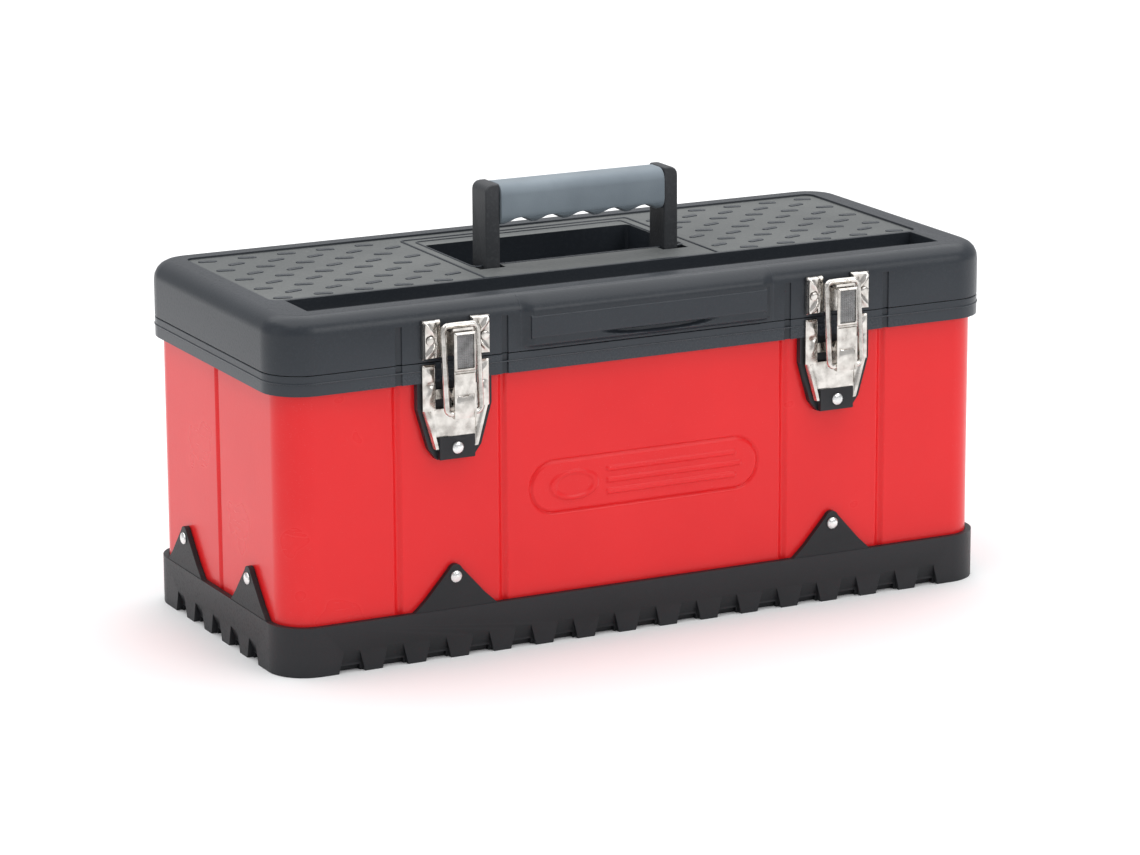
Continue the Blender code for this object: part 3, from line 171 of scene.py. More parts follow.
# Soft marks pressed into one side of a plate and mirrored to the other: how far each stands out,
# its middle outwards and up from a level, its half sizes across and up, and its lean
WING_MARKS = ((0.8 * MM, 17 * MM, -6 * MM, 2.2 * MM, 3.4 * MM, 0.5),
              (0.8 * MM, 17 * MM, -18 * MM, 2.4 * MM, 4.4 * MM, -0.4),
              (-0.5 * MM, 16.5 * MM, -11.5 * MM, 3.0 * MM, 1.6 * MM, 0))
EAR_MARKS = ((1.6 * MM, 17.4 * MM, 6.4 * MM, 1.7 * MM, 3.8 * MM, 0.7),
             (1.6 * MM, 17.0 * MM, -6.4 * MM, 1.7 * MM, 3.6 * MM, -0.7))

# Limits in mesh making
SHADING_CREASE = radians(38)            # shading stays sharp past this angle
ARRIS = radians(30)                     # a corner sharper than this is rounded
LEVEL = radians(0.3)                    # faces within this are one
SEAM = 0.002 * MM                       # vertices this near are one
FLAT_SEAM = 0.0005 * MM
FOLD_SHARE = 0.02                       # of a face's area that tells a fold from rounding errors
FOLD_AREA = 0.3 * MM * MM


# Camera and studio

def make_camera():
    """A long lens from the front left, a little above the box."""
    place = (-1.1900, -2.3618, 0.7646)
    yaw, pitch, roll = radians(26.71), radians(14.05), radians(-0.31)
    ahead = Vector((sin(yaw) * cos(pitch), cos(yaw) * cos(pitch), -sin(pitch)))
    level = Vector((cos(yaw), -sin(yaw), 0))
    upright = level.cross(ahead)
    across = level * cos(roll) + upright * sin(roll)
    up = upright * cos(roll) - level * sin(roll)
    data = bpy.data.cameras.new("camera")
    data.sensor_fit = "HORIZONTAL"
    data.sensor_width = 36
    data.lens = 138.95
    data.clip_end = 50
    camera = bpy.data.objects.new("camera", data)
    turn = Matrix((across, up, -ahead)).transposed().to_4x4()
    camera.matrix_world = Matrix.Translation(place) @ turn
    bpy.context.scene.collection.objects.link(camera)
    bpy.context.scene.camera = camera


def make_light(name, place, target, size, watts):
    """A rectangular soft box that faces a point."""
    data = bpy.data.lights.new(name, "AREA")
    data.shape = "RECTANGLE"
    data.size, data.size_y = size
    data.energy = watts
    light = bpy.data.objects.new(name, data)
    light.location = place
    facing = Vector(target) - Vector(place)
    light.rotation_euler = facing.to_track_quat("-Z", "Y").to_euler()
    bpy.context.scene.collection.objects.link(light)


def make_studio():
    """One broad light overhead, two weak ones in front, a pale world and a pale floor."""
    make_light("overhead", place=(0.5, 1.0, 3.4), target=(0.5, 1.0, 0), size=(6.4, 6.4), watts=216)
    make_light("left_panel", place=(-2.6, -0.2, 0.9), target=(0, 0, 0.12), size=(1.4, 1.2),
               watts=2.5)
    make_light("front_panel", place=(1.2, -2.9, 1.6), target=(0, 0, 0.1), size=(1.6, 1.0),
               watts=18)
    world = bpy.data.worlds.new("studio")
    world.use_nodes = True
    background = world.node_tree.nodes["Background"]
    background.inputs["Color"].default_value = (0.97, 0.98, 1, 1)
    background.inputs["Strength"].default_value = 0.55
    bpy.context.scene.world = world
    bpy.context.scene.view_settings.view_transform = "Standard"
    floor_mesh = bpy.data.meshes.new("floor")
    reach = 14
    corners = [(-reach, -reach, 0), (reach, -reach, 0), (reach, reach, 0), (-reach, reach, 0)]
    floor_mesh.from_pydata(corners, [], [(0, 1, 2, 3)])
    floor = bpy.data.objects.new("floor", floor_mesh)
    bpy.context.scene.collection.objects.link(floor)
    floor_mesh.materials.append(FLOOR)


# Materials

class Value:
    """An output socket that takes part in sums."""

    def __init__(self, finish, socket):
        self.finish = finish
        self.socket = socket

    def math(self, operation, *values):
        return self.finish.node("Math", {"operation": operation}, dict(enumerate(values)))

    def __add__(self, other):
        return self.math("ADD", self, other)

    def __sub__(self, other):
        return self.math("SUBTRACT", self, other)

    def __rsub__(self, other):
        return self.math("SUBTRACT", other, self)

    def __mul__(self, other):
        return self.math("MULTIPLY", self, other)

    __radd__ = __add__
    __rmul__ = __mul__

    def between(self, low, high):
        """0 below low, 1 above high, and a straight ramp between, kept inside 0 to 1."""
        values = {"From Min": low, "From Max": high, "Value": self}
        return self.finish.node("MapRange", {"clamp": True}, values)


class Finish:
    """One material: its Principled shader and the nodes that feed it."""

    def __init__(self, name):
        self.material = bpy.data.materials.new(name)
        self.material.use_nodes = True
        self.tree = self.material.node_tree
        self.shader = self.tree.nodes["Principled BSDF"]

    def node(self, kind, settings=None, values=None, output=0):
        """Adds a shader node: its settings first, then its sockets' values or links."""
        made = self.tree.nodes.new("ShaderNode" + kind)
        for name, setting in (settings or {}).items():
            setattr(made, name, setting)
        for name, value in (values or {}).items():
            self.feed(made.inputs[name], value)
        return Value(self, made.outputs[output])

    def feed(self, socket, value):
        """Links a value to a socket, or sets the socket to a number, vector or colour."""
        if isinstance(value, Value):
            self.tree.links.new(value.socket, socket)
        else:
            socket.default_value = value

    def noise(self, per_metre, detail=2.0, stretch=(1, 1, 1)):
        """Noise of so many cells a metre, in the object's own coordinates."""
        here = self.node("TexCoord", output="Object")
        stretched = self.node("VectorMath", {"operation": "MULTIPLY"}, {0: here, 1: stretch})
        values = {"Vector": stretched, "Scale": per_metre, "Detail": detail}
        return self.node("TexNoise", None, values)

    def pointiness(self, low, high):
        """How sharply the surface stands out, from 0 at low to 1 at high."""
        return self.node("NewGeometry", output="Pointiness").between(low, high)

    def mix(self, factor, first, second):
        """Two colours mixed."""
        values = {0: factor, 6: colour(first), 7: colour(second)}
        return self.node("Mix", {"data_type": "RGBA"}, values, 2)

    def bump(self, height, depth, strength):
        """A relief of so many metres, from a value of 0 to 1."""
        values = {"Height": height, "Distance": depth, "Strength": strength}
        return self.node("Bump", None, values)

    def set(self, **values):
        """Feeds the shader's own sockets and gives the material."""
        for name, value in values.items():
            self.feed(self.shader.inputs[name.replace("_", " ")], value)
        return self.material


def colour(value):
    """A colour of three parts given its alpha; links pass through."""
    return value if isinstance(value, Value) else (*value, 1)


def painted_steel(name, base, deep):
    """Powder coat: a faint orange peel, broad cloudiness, dust specks and hairline marks."""
    finish = Finish(name)
    clouds = finish.noise(14, detail=3).between(0.2, 0.8)
    specks = finish.noise(2600, detail=1).between(0.72, 0.8)
    scuffs = finish.noise(60, detail=6, stretch=(1, 1, 9)).between(0.62, 0.72)
    tint = finish.mix(clouds, base, deep)
    dust = (0.9, 0.75, 0.72)
    dusty = finish.mix(specks * 0.25, tint, dust)
    peel = finish.noise(420)
    return finish.set(
        Base_Color=dusty, Roughness=0.26 + clouds * 0.05 + scuffs * 0.05,
        Specular_IOR_Level=0.3, Coat_Weight=0.1, Coat_Roughness=0.12,
        Normal=finish.bump(peel, depth=0.06 * MM, strength=0.6))


def grained_plastic(name, base, light, roughness, grain=700, depth=0.12 * MM):
    """Moulded plastic: spark-eroded grain, pale flow marks and rubbed arrises."""
    finish = Finish(name)
    pits = finish.noise(grain, detail=3)
    flow = finish.noise(9, detail=4, stretch=(1, 1, 2.5)).between(0.35, 0.7)
    rubbed = finish.pointiness(0.52, 0.62)
    fleck = pits.between(0.5, 0.75)
    tint = finish.mix(flow * 0.35 + fleck * 0.3, base, light)
    pale = [min(1, 1.8 * part) for part in light]
    worn = finish.mix(rubbed * 0.35, tint, pale)
    return finish.set(
        Base_Color=worn, Roughness=roughness + fleck * 0.12 - rubbed * 0.1,
        Specular_IOR_Level=0.33, Normal=finish.bump(pits, depth, strength=0.7))


def soft_rubber(name, base, light):
    """Overmoulded grip: matt, with a fine stipple and smoother patches where hands rub."""
    finish = Finish(name)
    stipple = finish.noise(1100)
    patches = finish.noise(30, detail=3).between(0.3, 0.75)
    tint = finish.mix(patches, base, light)
    return finish.set(
        Base_Color=tint, Roughness=0.62 - patches * 0.1, Sheen_Weight=0.12,
        Normal=finish.bump(stipple, depth=0.07 * MM, strength=0.8))


def plated_steel(name, base, dull, roughness):
    """Bright nickel plate: faint rolling lines, blotches and tarnish in the hollows."""
    finish = Finish(name)
    rolled = finish.noise(900, stretch=(0.12, 1, 1))
    blotches = finish.noise(170, detail=4).between(0.38, 0.68)
    hollow = 1 - finish.pointiness(0.42, 0.5)
    tarnish = (blotches * 0.5 + hollow * 0.7).between(0, 1)
    tint = finish.mix(tarnish, base, dull)
    return finish.set(
        Base_Color=tint, Metallic=1.0, Roughness=roughness + blotches * 0.14,
        Normal=finish.bump(rolled + blotches * 0.6, depth=0.05 * MM, strength=0.5))


def pale_floor():
    """A matt studio floor, faintly mottled."""
    finish = Finish("pale_floor")
    mottle = finish.noise(3).between(0.2, 0.8)
    tint = finish.mix(mottle, (0.9, 0.9, 0.9), (0.93, 0.93, 0.93))
    return finish.set(Base_Color=tint, Roughness=0.75)


RED = painted_steel("red_paint", base=(0.79, 0.015, 0.018), deep=(0.72, 0.011, 0.014))
SLATE = grained_plastic("slate_plastic", base=(0.019, 0.023, 0.029), light=(0.035, 0.041, 0.049),
                        roughness=0.34)
PANEL = grained_plastic("panel_plastic", base=(0.10, 0.106, 0.106), light=(0.20, 0.206, 0.20),
                        roughness=0.6, grain=420, depth=0.35 * MM)
BLACK = grained_plastic("black_plastic", base=(0.010, 0.011, 0.013), light=(0.022, 0.022, 0.025),
                        roughness=0.48)
HANDLE = grained_plastic("handle_plastic", base=(0.018, 0.020, 0.023), light=(0.075, 0.078, 0.084),
                         roughness=0.5, grain=520, depth=0.22 * MM)
GRIP = soft_rubber("grip_rubber", base=(0.16, 0.195, 0.225), light=(0.215, 0.26, 0.295))
NICKEL = plated_steel("nickel_plate", base=(0.72, 0.69, 0.65), dull=(0.22, 0.20, 0.18),
                      roughness=0.15)
# Painted shade: a darker copy of the nickel for the knurled pad, standing in for the shade among its
# ridges.
SHADED_KNURL = plated_steel("knurled_plate_painted_shade", base=(0.27, 0.27, 0.27), dull=(0.12, 0.12, 0.12),
                     roughness=0.38)
STEEL = plated_steel("bright_steel", base=(0.85, 0.85, 0.84), dull=(0.45, 0.45, 0.45),
                     roughness=0.2)
TRAY = grained_plastic("tray_plastic", base=(0.10, 0.108, 0.115), light=(0.15, 0.158, 0.165),
                       roughness=0.5)
FLOOR = pale_floor()


# Mesh making

def shown(name, bm, body, material, nodes=(), sheet=0.0):
    """A finished piece that rides on a body and may stand for CAD nodes."""
    mesh = bpy.data.meshes.new(name)
    bmesh.ops.recalc_face_normals(bm, faces=bm.faces)
    bm.to_mesh(mesh)
    bm.free()
    mesh.materials.append(material)
    mesh.polygons.foreach_set("use_smooth", [True] * len(mesh.polygons))
    mesh.set_sharp_from_angle(angle=SHADING_CREASE)
    piece = bpy.data.objects.new(name, mesh)
    bpy.context.scene.collection.objects.link(piece)
    if sheet:
        thicken = piece.modifiers.new("sheet", "SOLIDIFY")
        thicken.thickness = sheet
        thicken.offset = -1
    weighted = piece.modifiers.new("even_shading", "WEIGHTED_NORMAL")
    weighted.keep_sharp = True
    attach(piece, body)
    if nodes:
        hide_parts(*nodes)
    return piece


def copy_of(node):
    """A CAD solid as a bmesh of its own."""
    bm = bmesh.new()
    bm.from_mesh(frame["nodes"][node].data)
    bmesh.ops.remove_doubles(bm, verts=bm.verts, dist=SEAM)
    return bm


def flatten(bm):
    """Joins the faces that lie in one plane."""
    bmesh.ops.remove_doubles(bm, verts=bm.verts, dist=FLAT_SEAM)
    bmesh.ops.dissolve_limit(bm, angle_limit=LEVEL, verts=bm.verts, edges=bm.edges)
    return bm


def cut_away(bm, cutter):
    """The shape less the cutter's shape."""
    meshes = []
    for shape in (bm, cutter):
        mesh = bpy.data.meshes.new("shape")
        shape.to_mesh(mesh)
        shape.free()
        meshes.append(mesh)
    holders = [bpy.data.objects.new("shape", mesh) for mesh in meshes]
    for holder in holders:
        bpy.context.scene.collection.objects.link(holder)
    modifier = holders[0].modifiers.new("cut", "BOOLEAN")
    modifier.object = holders[1]
    modifier.solver = "EXACT"
    graph = bpy.context.evaluated_depsgraph_get()
    result = bpy.data.meshes.new_from_object(holders[0].evaluated_get(graph))
    rest = bmesh.new()
    rest.from_mesh(result)
    for holder in holders:
        bpy.data.objects.remove(holder)
    for mesh in meshes + [result]:
        bpy.data.meshes.remove(mesh)
    return rest


def folded(bm):
    """The faces that cross themselves: their triangles cover more than their outline holds."""
    bm.faces.index_update()
    covered = [0.0] * len(bm.faces)
    for triangle in bm.calc_loop_triangles():
        first, second, third = (loop.vert.co for loop in triangle)
        covered[triangle[0].face.index] += (second - first).cross(third - first).length / 2
    found = []
    for face in bm.faces:
        area = face.calc_area()
        if abs(covered[face.index] - area) > max(FOLD_SHARE * area, FOLD_AREA):
            found.append(face)
    return found


def soften(bm, width, segments):
    """Rounds every arris, apart from the short ones and those round a face without room."""
    numbers = bm.faces.layers.int.new("source")
    bm.faces.index_update()
    for face in bm.faces:
        face[numbers] = face.index
    cramped = set()
    while True:
        trial = bm.copy()
        source = trial.faces.layers.int["source"]
        edges = []
        for edge in trial.edges:
            if len(edge.link_faces) != 2 or edge.calc_length() < width:
                continue
            if cramped.intersection(face[source] for face in edge.link_faces):
                continue
            if edge.calc_face_angle(0) > ARRIS:
                edges.append(edge)
        bmesh.ops.bevel(trial, geom=edges, offset=width, offset_type="OFFSET", segments=segments,
                        profile=0.5, affect="EDGES", clamp_overlap=False)
        found = {face[source] for face in folded(trial)} - cramped
        if not found:
            bm.free()
            return trial
        cramped |= found
        trial.free()


def softened(node, body, material, width, name=None, segments=2, cutter=None):
    """A CAD solid with its arrises rounded, standing for the node."""
    bm = copy_of(node)
    if cutter is not None:
        bm = cut_away(bm, cutter)
    bm = soften(flatten(bm), width, segments)
    return shown(name or f"{node}_moulded", bm, body, material, [node])


def step_up(value, low, high):
    """0 below low, 1 above high, and an S-curve between."""
    share = min(1, max(0, (value - low) / (high - low)))
    return share * share * (3 - 2 * share)


def spread(low, high, pitch):
    """Even positions from low to high, no further apart than the pitch."""
    count = max(1, ceil((high - low) / pitch))
    return [low + (high - low) * index / count for index in range(count + 1)]


def arc(middle, radius, start, end, steps):
    """Points along an arc in a plane, its ends given in degrees."""
    points = []
    for step in range(steps + 1):
        angle = radians(start + (end - start) * step / steps)
        points.append((middle[0] + radius * cos(angle), middle[1] + radius * sin(angle)))
    return points


def wall(bm, first, second):
    """Joins two rings of vertices by a band of faces."""
    for step in range(len(first)):
        after = (step + 1) % len(first)
        bm.faces.new([first[step], first[after], second[after], second[step]])


def tube(bm, rings):
    """Joins rings of vertices in turn, and closes both ends."""
    for first, second in zip(rings, rings[1:]):
        wall(bm, first, second)
    bm.faces.new(rings[0][::-1])
    bm.faces.new(rings[-1])


def relief(bm, centre_x, across, heights, reach, face, back):
    """Adds a closed pressing that faces the front.

    across runs -1 to 1, reach(z) gives the left and right edges at a height, face(x, z) how far
    the front stands out from the rim's face, and back(z) how far the rear does.
    """
    front_rows = []
    back_rows = []
    for z in heights:
        left, right = reach(z)
        front_row = []
        back_row = []
        for share in across:
            x = left + (right - left) * (share + 1) / 2
            front_row.append(bm.verts.new((centre_x + x, RIM_FRONT - face(x, z), z)))
            back_row.append(bm.verts.new((centre_x + x, RIM_FRONT - back(z), z)))
        front_rows.append(front_row)
        back_rows.append(back_row)
    for rows, flip in ((front_rows, False), (back_rows, True)):
        for low, high in zip(rows, rows[1:]):
            for index in range(len(low) - 1):
                ring = [low[index], low[index + 1], high[index + 1], high[index]]
                bm.faces.new(ring[::-1] if flip else ring)
    wall(bm, rim_of(back_rows), rim_of(front_rows))


def rim_of(rows):
    """The vertices round a grid of rows, from its first one."""
    right = [row[-1] for row in rows[1:]]
    left = [row[0] for row in rows[-2:0:-1]]
    return rows[0] + right + rows[-1][-2::-1] + left


def strip(left, right):
    """Edges for a pressing, the same at every height."""
    return lambda z: (left, right)


def flat(out):
    """A face for a pressing, the same all over."""
    return lambda x, z: out


def prism(bm, outline, x_low, x_high):
    """Adds a plate across X from (out, z) points, out measured from the rim's face."""
    ends = []
    for x in (x_low, x_high):
        ends.append([bm.verts.new((x, RIM_FRONT - out, z)) for out, z in outline])
    bm.faces.new(ends[0])
    bm.faces.new(ends[1][::-1])
    wall(bm, ends[1], ends[0])


def bead(bm, path, radius):
    """Adds a round bead that follows a closed path."""
    segments = 8
    rings = []
    for index, point in enumerate(path):
        before = path[index - 1]
        after = path[(index + 1) % len(path)]
        along = (Vector(after) - Vector(before)).normalized()
        side = along.cross(Vector((0, 0, 1))).normalized()
        up = side.cross(along)
        ring = []
        for step in range(segments):
            angle = 2 * pi * step / segments
            out = (side * cos(angle) + up * sin(angle)) * radius
            ring.append(bm.verts.new(Vector(point) + out))
        rings.append(ring)
    for first, second in zip(rings, rings[1:] + rings[:1]):
        wall(bm, first, second)


def rounded_path(low, high, radius, z, steps=5):
    """A rectangle with rounded corners at one height, anticlockwise."""
    path = []
    corners = ((high[0], high[1], 0), (low[0], high[1], 90),
               (low[0], low[1], 180), (high[0], low[1], 270))
    for x, y, start in corners:
        centre_x = x - radius if x == high[0] else x + radius
        centre_y = y - radius if y == high[1] else y + radius
        turn = arc((centre_x, centre_y), radius, start, start + 90, steps)
        path += [(turn_x, turn_y, z) for turn_x, turn_y in turn]
    return path


# Steel body

def badge_rise(x, z):
    """The blank cartouche: a grooved outline round an oval and three ribs."""
    up = z - BADGE_Z
    inside = BADGE_ROUND - hypot(max(0, abs(x) - BADGE_HALF + BADGE_ROUND), up)
    field = BADGE_FIELD * step_up(inside, 1.2 * MM, 2.2 * MM)
    outline = -BADGE_EMBOSS * exp(-((inside - 0.6 * MM) / (0.8 * MM)) ** 2)
    oval = 1 - hypot((x - OVAL_X) / OVAL_HALF_X, up / OVAL_HALF_Z)
    rise = BADGE_EMBOSS * step_up(oval, 0, 0.1) - 0.7 * MM * step_up(oval, 0.22, 0.34)
    for middle in RIBS_UP:
        past_end = max(RIB_LEFT - x, x - RIB_RIGHT + 0.5 * abs(middle), 0)
        rise += BADGE_EMBOSS * step_up(RIB_HALF - hypot(up - middle, past_end), 0, 1 * MM)
    return field + outline + rise


def groove(distance):
    """How far a swaged groove goes in at a distance from its middle."""
    if abs(distance) > GROOVE_WIDTH / 2:
        return 0
    return GROOVE_DEPTH * (0.5 + 0.5 * cos(2 * pi * distance / GROOVE_WIDTH))


def steel_outline():
    """(x, y, outward x, outward y) round the steel, anticlockwise from the front left corner."""
    points = []
    badge_reach = BADGE_HALF + BADGE_MARGIN
    half_steps = GROOVE_STEPS // 2
    walks = ((HALF_LENGTH, HALF_WIDTH, 0, GROOVES_X), (HALF_WIDTH, HALF_LENGTH, 90, (0,)),
             (HALF_LENGTH, HALF_WIDTH, 180, GROOVES_X), (HALF_WIDTH, HALF_LENGTH, 270, (0,)))
    for half, depth, heading, grooves in walks:
        stops = {-half + CORNER, half - CORNER}
        for middle in grooves:
            for step in range(-half_steps, half_steps + 1):
                stops.add(middle + step * GROOVE_WIDTH / GROOVE_STEPS)
        if heading == 0:
            stops.update(spread(-badge_reach, badge_reach, BADGE_PITCH))
        turn = radians(heading)
        for along in sorted(stops):
            inward = max(groove(along - middle) for middle in grooves)
            x = along * cos(turn) + (depth - inward) * sin(turn)
            y = along * sin(turn) - (depth - inward) * cos(turn)
            points.append((x, BODY_Y + y, sin(turn), -cos(turn)))
        for step in range(1, CORNER_STEPS):
            angle = radians(heading - 90 + 90 * step / CORNER_STEPS)
            x = (half - CORNER) * cos(turn) + (depth - CORNER) * sin(turn)
            y = (half - CORNER) * sin(turn) - (depth - CORNER) * cos(turn)
            points.append((x + CORNER * cos(angle), BODY_Y + y + CORNER * sin(angle),
                           cos(angle), sin(angle)))
    return points


def make_steel():
    """The sheet-steel box, grooved, with the badge pressed into its front."""
    outline = steel_outline()
    heights = {STEEL_LOW.z, STEEL_HIGH.z}
    heights.update(spread(BADGE_Z - BADGE_ROUND - BADGE_MARGIN,
                          BADGE_Z + BADGE_ROUND + BADGE_MARGIN, BADGE_PITCH))
    bm = bmesh.new()
    rows = []
    for z in sorted(heights):
        near_badge = abs(z - BADGE_Z) < BADGE_ROUND + BADGE_MARGIN
        row = []
        for x, y, out_x, out_y in outline:
            rise = 0
            if near_badge and out_y == -1 and abs(x) < BADGE_HALF + BADGE_MARGIN:
                rise = badge_rise(x, z)
            row.append(bm.verts.new((x + out_x * rise, y + out_y * rise, z)))
        rows.append(row)
    for low, high in zip(rows, rows[1:]):
        wall(bm, low, high)
    shown("painted_body", bm, "box", RED, ["steel_body"], SHEET)


# Base and rim

def foot_wedge(along, depth):
    """The cutter for one tapered hollow between two feet, in the front before it is turned."""
    floor = -1 * MM
    bm = bmesh.new()
    rings = []
    for out, top in (NOTCH_OUTER, NOTCH_INNER):
        top_half = NOTCH_HALF - NOTCH_TAPER * top
        corners = ((-NOTCH_HALF, floor), (NOTCH_HALF, floor), (top_half, top), (-top_half, top))
        rings.append([bm.verts.new((along + x, -(depth + out), z)) for x, z in corners])
    bm.faces.new(rings[0][::-1])
    bm.faces.new(rings[1])
    wall(bm, rings[0], rings[1])
    bmesh.ops.recalc_face_normals(bm, faces=bm.faces)
    return bm


def foot_wedges():
    """The cutters for all the hollows between the base's feet, as one shape."""
    low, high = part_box("base_tray")
    whole = bmesh.new()
    sides = ((FRONT_NOTCHES, (high.y - low.y) / 2, 0), (END_NOTCHES, high.x, 90))
    for count, depth, heading in sides:
        for turn in (heading, heading + 180):
            place = Matrix.Translation((0, BODY_Y, 0)) @ Matrix.Rotation(radians(turn), 4, "Z")
            for index in range(-count, count + 1):
                bm = foot_wedge(index * NOTCH_PITCH, depth)
                bm.transform(place)
                mesh = bpy.data.meshes.new("wedge")
                bm.to_mesh(mesh)
                bm.free()
                whole.from_mesh(mesh)
                bpy.data.meshes.remove(mesh)
    return whole


def make_base():
    """The base with its feet and tabs."""
    softened("base_tray", "box", BLACK, width=0.2 * MM, name="base_moulding",
             cutter=foot_wedges())


def make_rim():
    """The frame round the mouth, with a fine bead; the tongues behind the latches are painted black
    as shade.
    """
    rim = softened("rim_frame", "box", SLATE, width=0.5 * MM, name="rim_moulding")
    # Painted shade: the low front faces of this one moulding, behind the latches, take the black
    # plastic for the shadow there.
    rim.data.materials.append(BLACK)
    for face in rim.data.polygons:
        if face.center.z < SHOULDER_Z and face.center.y < FRONT:
            face.material_index = 1
    low = (-HALF_LENGTH - LIP, RIM_FRONT)
    high = (HALF_LENGTH + LIP, RIM_BACK)
    path = rounded_path(low, high, CORNER + LIP, PARTING_Z - RIM_LINE_DROP, steps=10)
    bm = bmesh.new()
    bead(bm, path, RIM_LINE_ROUND)
    shown("rim_line", bm, "box", SLATE)


# Lid

def lid_front_out(z):
    """How far the lid's front stands out at a height, negative where the top edge rounds over."""
    over = z - (LID_TOP_Z - LID_EDGE)
    if over <= 0:
        return 0
    return sqrt(max(0, LID_EDGE ** 2 - over ** 2)) - LID_EDGE


def brow_face(x, z):
    """The swelling along the middle of the lid's front, with a lens-shaped finger hollow in it."""
    rise = BROW_RISE * step_up(BROW_HALF - abs(x), 0, 9 * MM)
    rise *= step_up(z, PARTING_Z + 1.2 * MM, PARTING_Z + 4 * MM)
    rise *= 1 - 0.8 * step_up(z, LID_TOP_Z - LID_EDGE, LID_TOP_Z)
    x_share = (x - FINGER_X) / FINGER_HALF_X
    z_share = (z - PARTING_Z - FINGER_UP) / FINGER_HALF_Z
    hollow = max(0, 1 - x_share ** 2 - z_share ** 2)
    return lid_front_out(z) + rise * (1 - min(1, 2.2 * hollow)) + 0.05 * MM


def make_brow():
    """The swelling on the lid's front, its back sunk a little into the lid."""
    sunk = 1.2 * MM
    bm = bmesh.new()
    heights = spread(PARTING_Z + 1 * MM, LID_TOP_Z - 0.6 * MM, 0.45 * MM)
    relief(bm, 0, spread(-1, 1, 0.012), heights, strip(-BROW_HALF, BROW_HALF), brow_face,
           lambda z: lid_front_out(z) - sunk)
    shown("lid_brow", bm, "lid", SLATE)


def make_treads():
    """Short anti-slip bars moulded on the lid's top, leaning one way and the other by turns."""
    end_margin = 9 * MM
    side_margin = 8 * MM
    well_margin = 16 * MM
    bm = bmesh.new()
    rows = int((PANEL_BACK - PANEL_FRONT - 2 * side_margin) / TREAD_ROW_PITCH) + 1
    first = (PANEL_FRONT + PANEL_BACK - (rows - 1) * TREAD_ROW_PITCH) / 2
    for row in range(rows):
        odd = row % 2
        lean = radians(TREAD_LEAN if odd else -TREAD_LEAN)
        for column in range(-9, 10):
            x = (column + 0.5 * odd) * TREAD_PITCH
            if WELL_HALF + well_margin <= abs(x) <= PANEL_HALF - end_margin:
                add_tread(bm, x, first + row * TREAD_ROW_PITCH, lean)
    # Painted shade: the bars are in the darker slate, not the panel's grey, to stand for the shadow
    # that the tread marks show.
    shown("lid_treads", bm, "lid", SLATE)


def add_tread(bm, x, y, lean):
    """One low bar with rounded ends and a rounded back."""
    outline = arc((TREAD_HALF, 0), TREAD_ROUND, -90, 90, 4)
    outline += arc((-TREAD_HALF, 0), TREAD_ROUND, 90, 270, 4)
    foot = (1.15, -0.4 * MM)
    shoulder = (1.0, TREAD_RISE * 0.55)
    crown = (0.62, TREAD_RISE)
    rings = []
    for share, height in (foot, shoulder, crown):
        ring = []
        for along, aside in outline:
            if share < 1:
                along -= (1 - share) * TREAD_ROUND * (1 if along > 0 else -1)
            aside *= share
            ring.append(bm.verts.new((x + along * cos(lean) - aside * sin(lean),
                                      y + along * sin(lean) + aside * cos(lean),
                                      PANEL_Z + height)))
        rings.append(ring)
    tube(bm, rings)


def make_lid():
    """The lid with its pale panels, its swelling, its treads and the beads round the well."""
    lid = softened("lid_shell", "lid", SLATE, width=0.4 * MM, name="lid_moulding")
    lid.data.materials.append(PANEL)
    for face in lid.data.polygons:
        centre = face.center
        on_panel = abs(centre.x) < PANEL_HALF and PANEL_FRONT < centre.y < PANEL_BACK
        if on_panel and abs(centre.z - PANEL_Z) < 0.2 * MM and face.normal.z > 0.9:
            face.material_index = 1
    make_brow()
    make_treads()
    field = ((-WELL_HALF - WELL_MARGIN, PANEL_FRONT + 1.2 * MM),
             (WELL_HALF + WELL_MARGIN, WELL_BACK + WELL_MARGIN))
    mouth = ((-WELL_HALF - 1 * MM, WELL_FRONT - 1 * MM), (WELL_HALF + 1 * MM, WELL_BACK + 1 * MM))
    bm = bmesh.new()
    bead(bm, rounded_path(*field, WELL_CORNER, PANEL_Z), 0.8 * MM)
    bead(bm, rounded_path(*mouth, WELL_CORNER, PANEL_Z), 0.7 * MM)
    shown("lid_well_frame", bm, "lid", SLATE)


# Handle

def make_handle():
    """The folding handle's frame and its rubber grip."""
    softened("handle_frame", "handle", HANDLE, width=1.2 * MM,
             name="handle_moulding", segments=3)
    softened("handle_grip", "handle", GRIP, width=0.6 * MM, name="handle_sleeve",
             segments=3)


# Latches

def blob(x, z, at_x, at_z, half_x, half_z, lean):
    """A soft raised mark, 1 at its middle, leaning by so much per unit height."""
    across = (x - at_x - lean * (z - at_z)) / half_x
    along = (z - at_z) / half_z
    return exp(-across ** 2 - along ** 2)


def edge_roll(inset):
    """How an edge of sheet rolls back, from 1 at the edge to 0 inside it."""
    return 1 - step_up(inset, 0, 1.0 * MM)


def plate_back(z):
    """The rear of a latch plate or keeper."""
    return PLATE_BACK


def wing_face(x, z):
    """One raised side of the base plate, with two slanting marks and a hollow between them."""
    aside = abs(x)
    rise = PLATE_FACE + 1.5 * MM * step_up(aside, WING_INNER, WING_INNER + 2 * MM)
    for out, at_x, up, half_x, half_z, lean in WING_MARKS:
        rise += out * blob(aside, z, at_x, PLATE_TOP_Z + up, half_x, half_z, lean)
    inset = min(PLATE_HALF - aside, PLATE_TOP_Z - z, aside - WING_INNER)
    return rise - 1.2 * MM * edge_roll(inset)


def apron_half(z):
    """Half the width of the base plate's tapered lower part."""
    share = (z - PLATE_LOW_Z) / (SHOULDER_Z - PLATE_LOW_Z)
    return APRON_FOOT + APRON_FLARE * min(1, max(0, share))


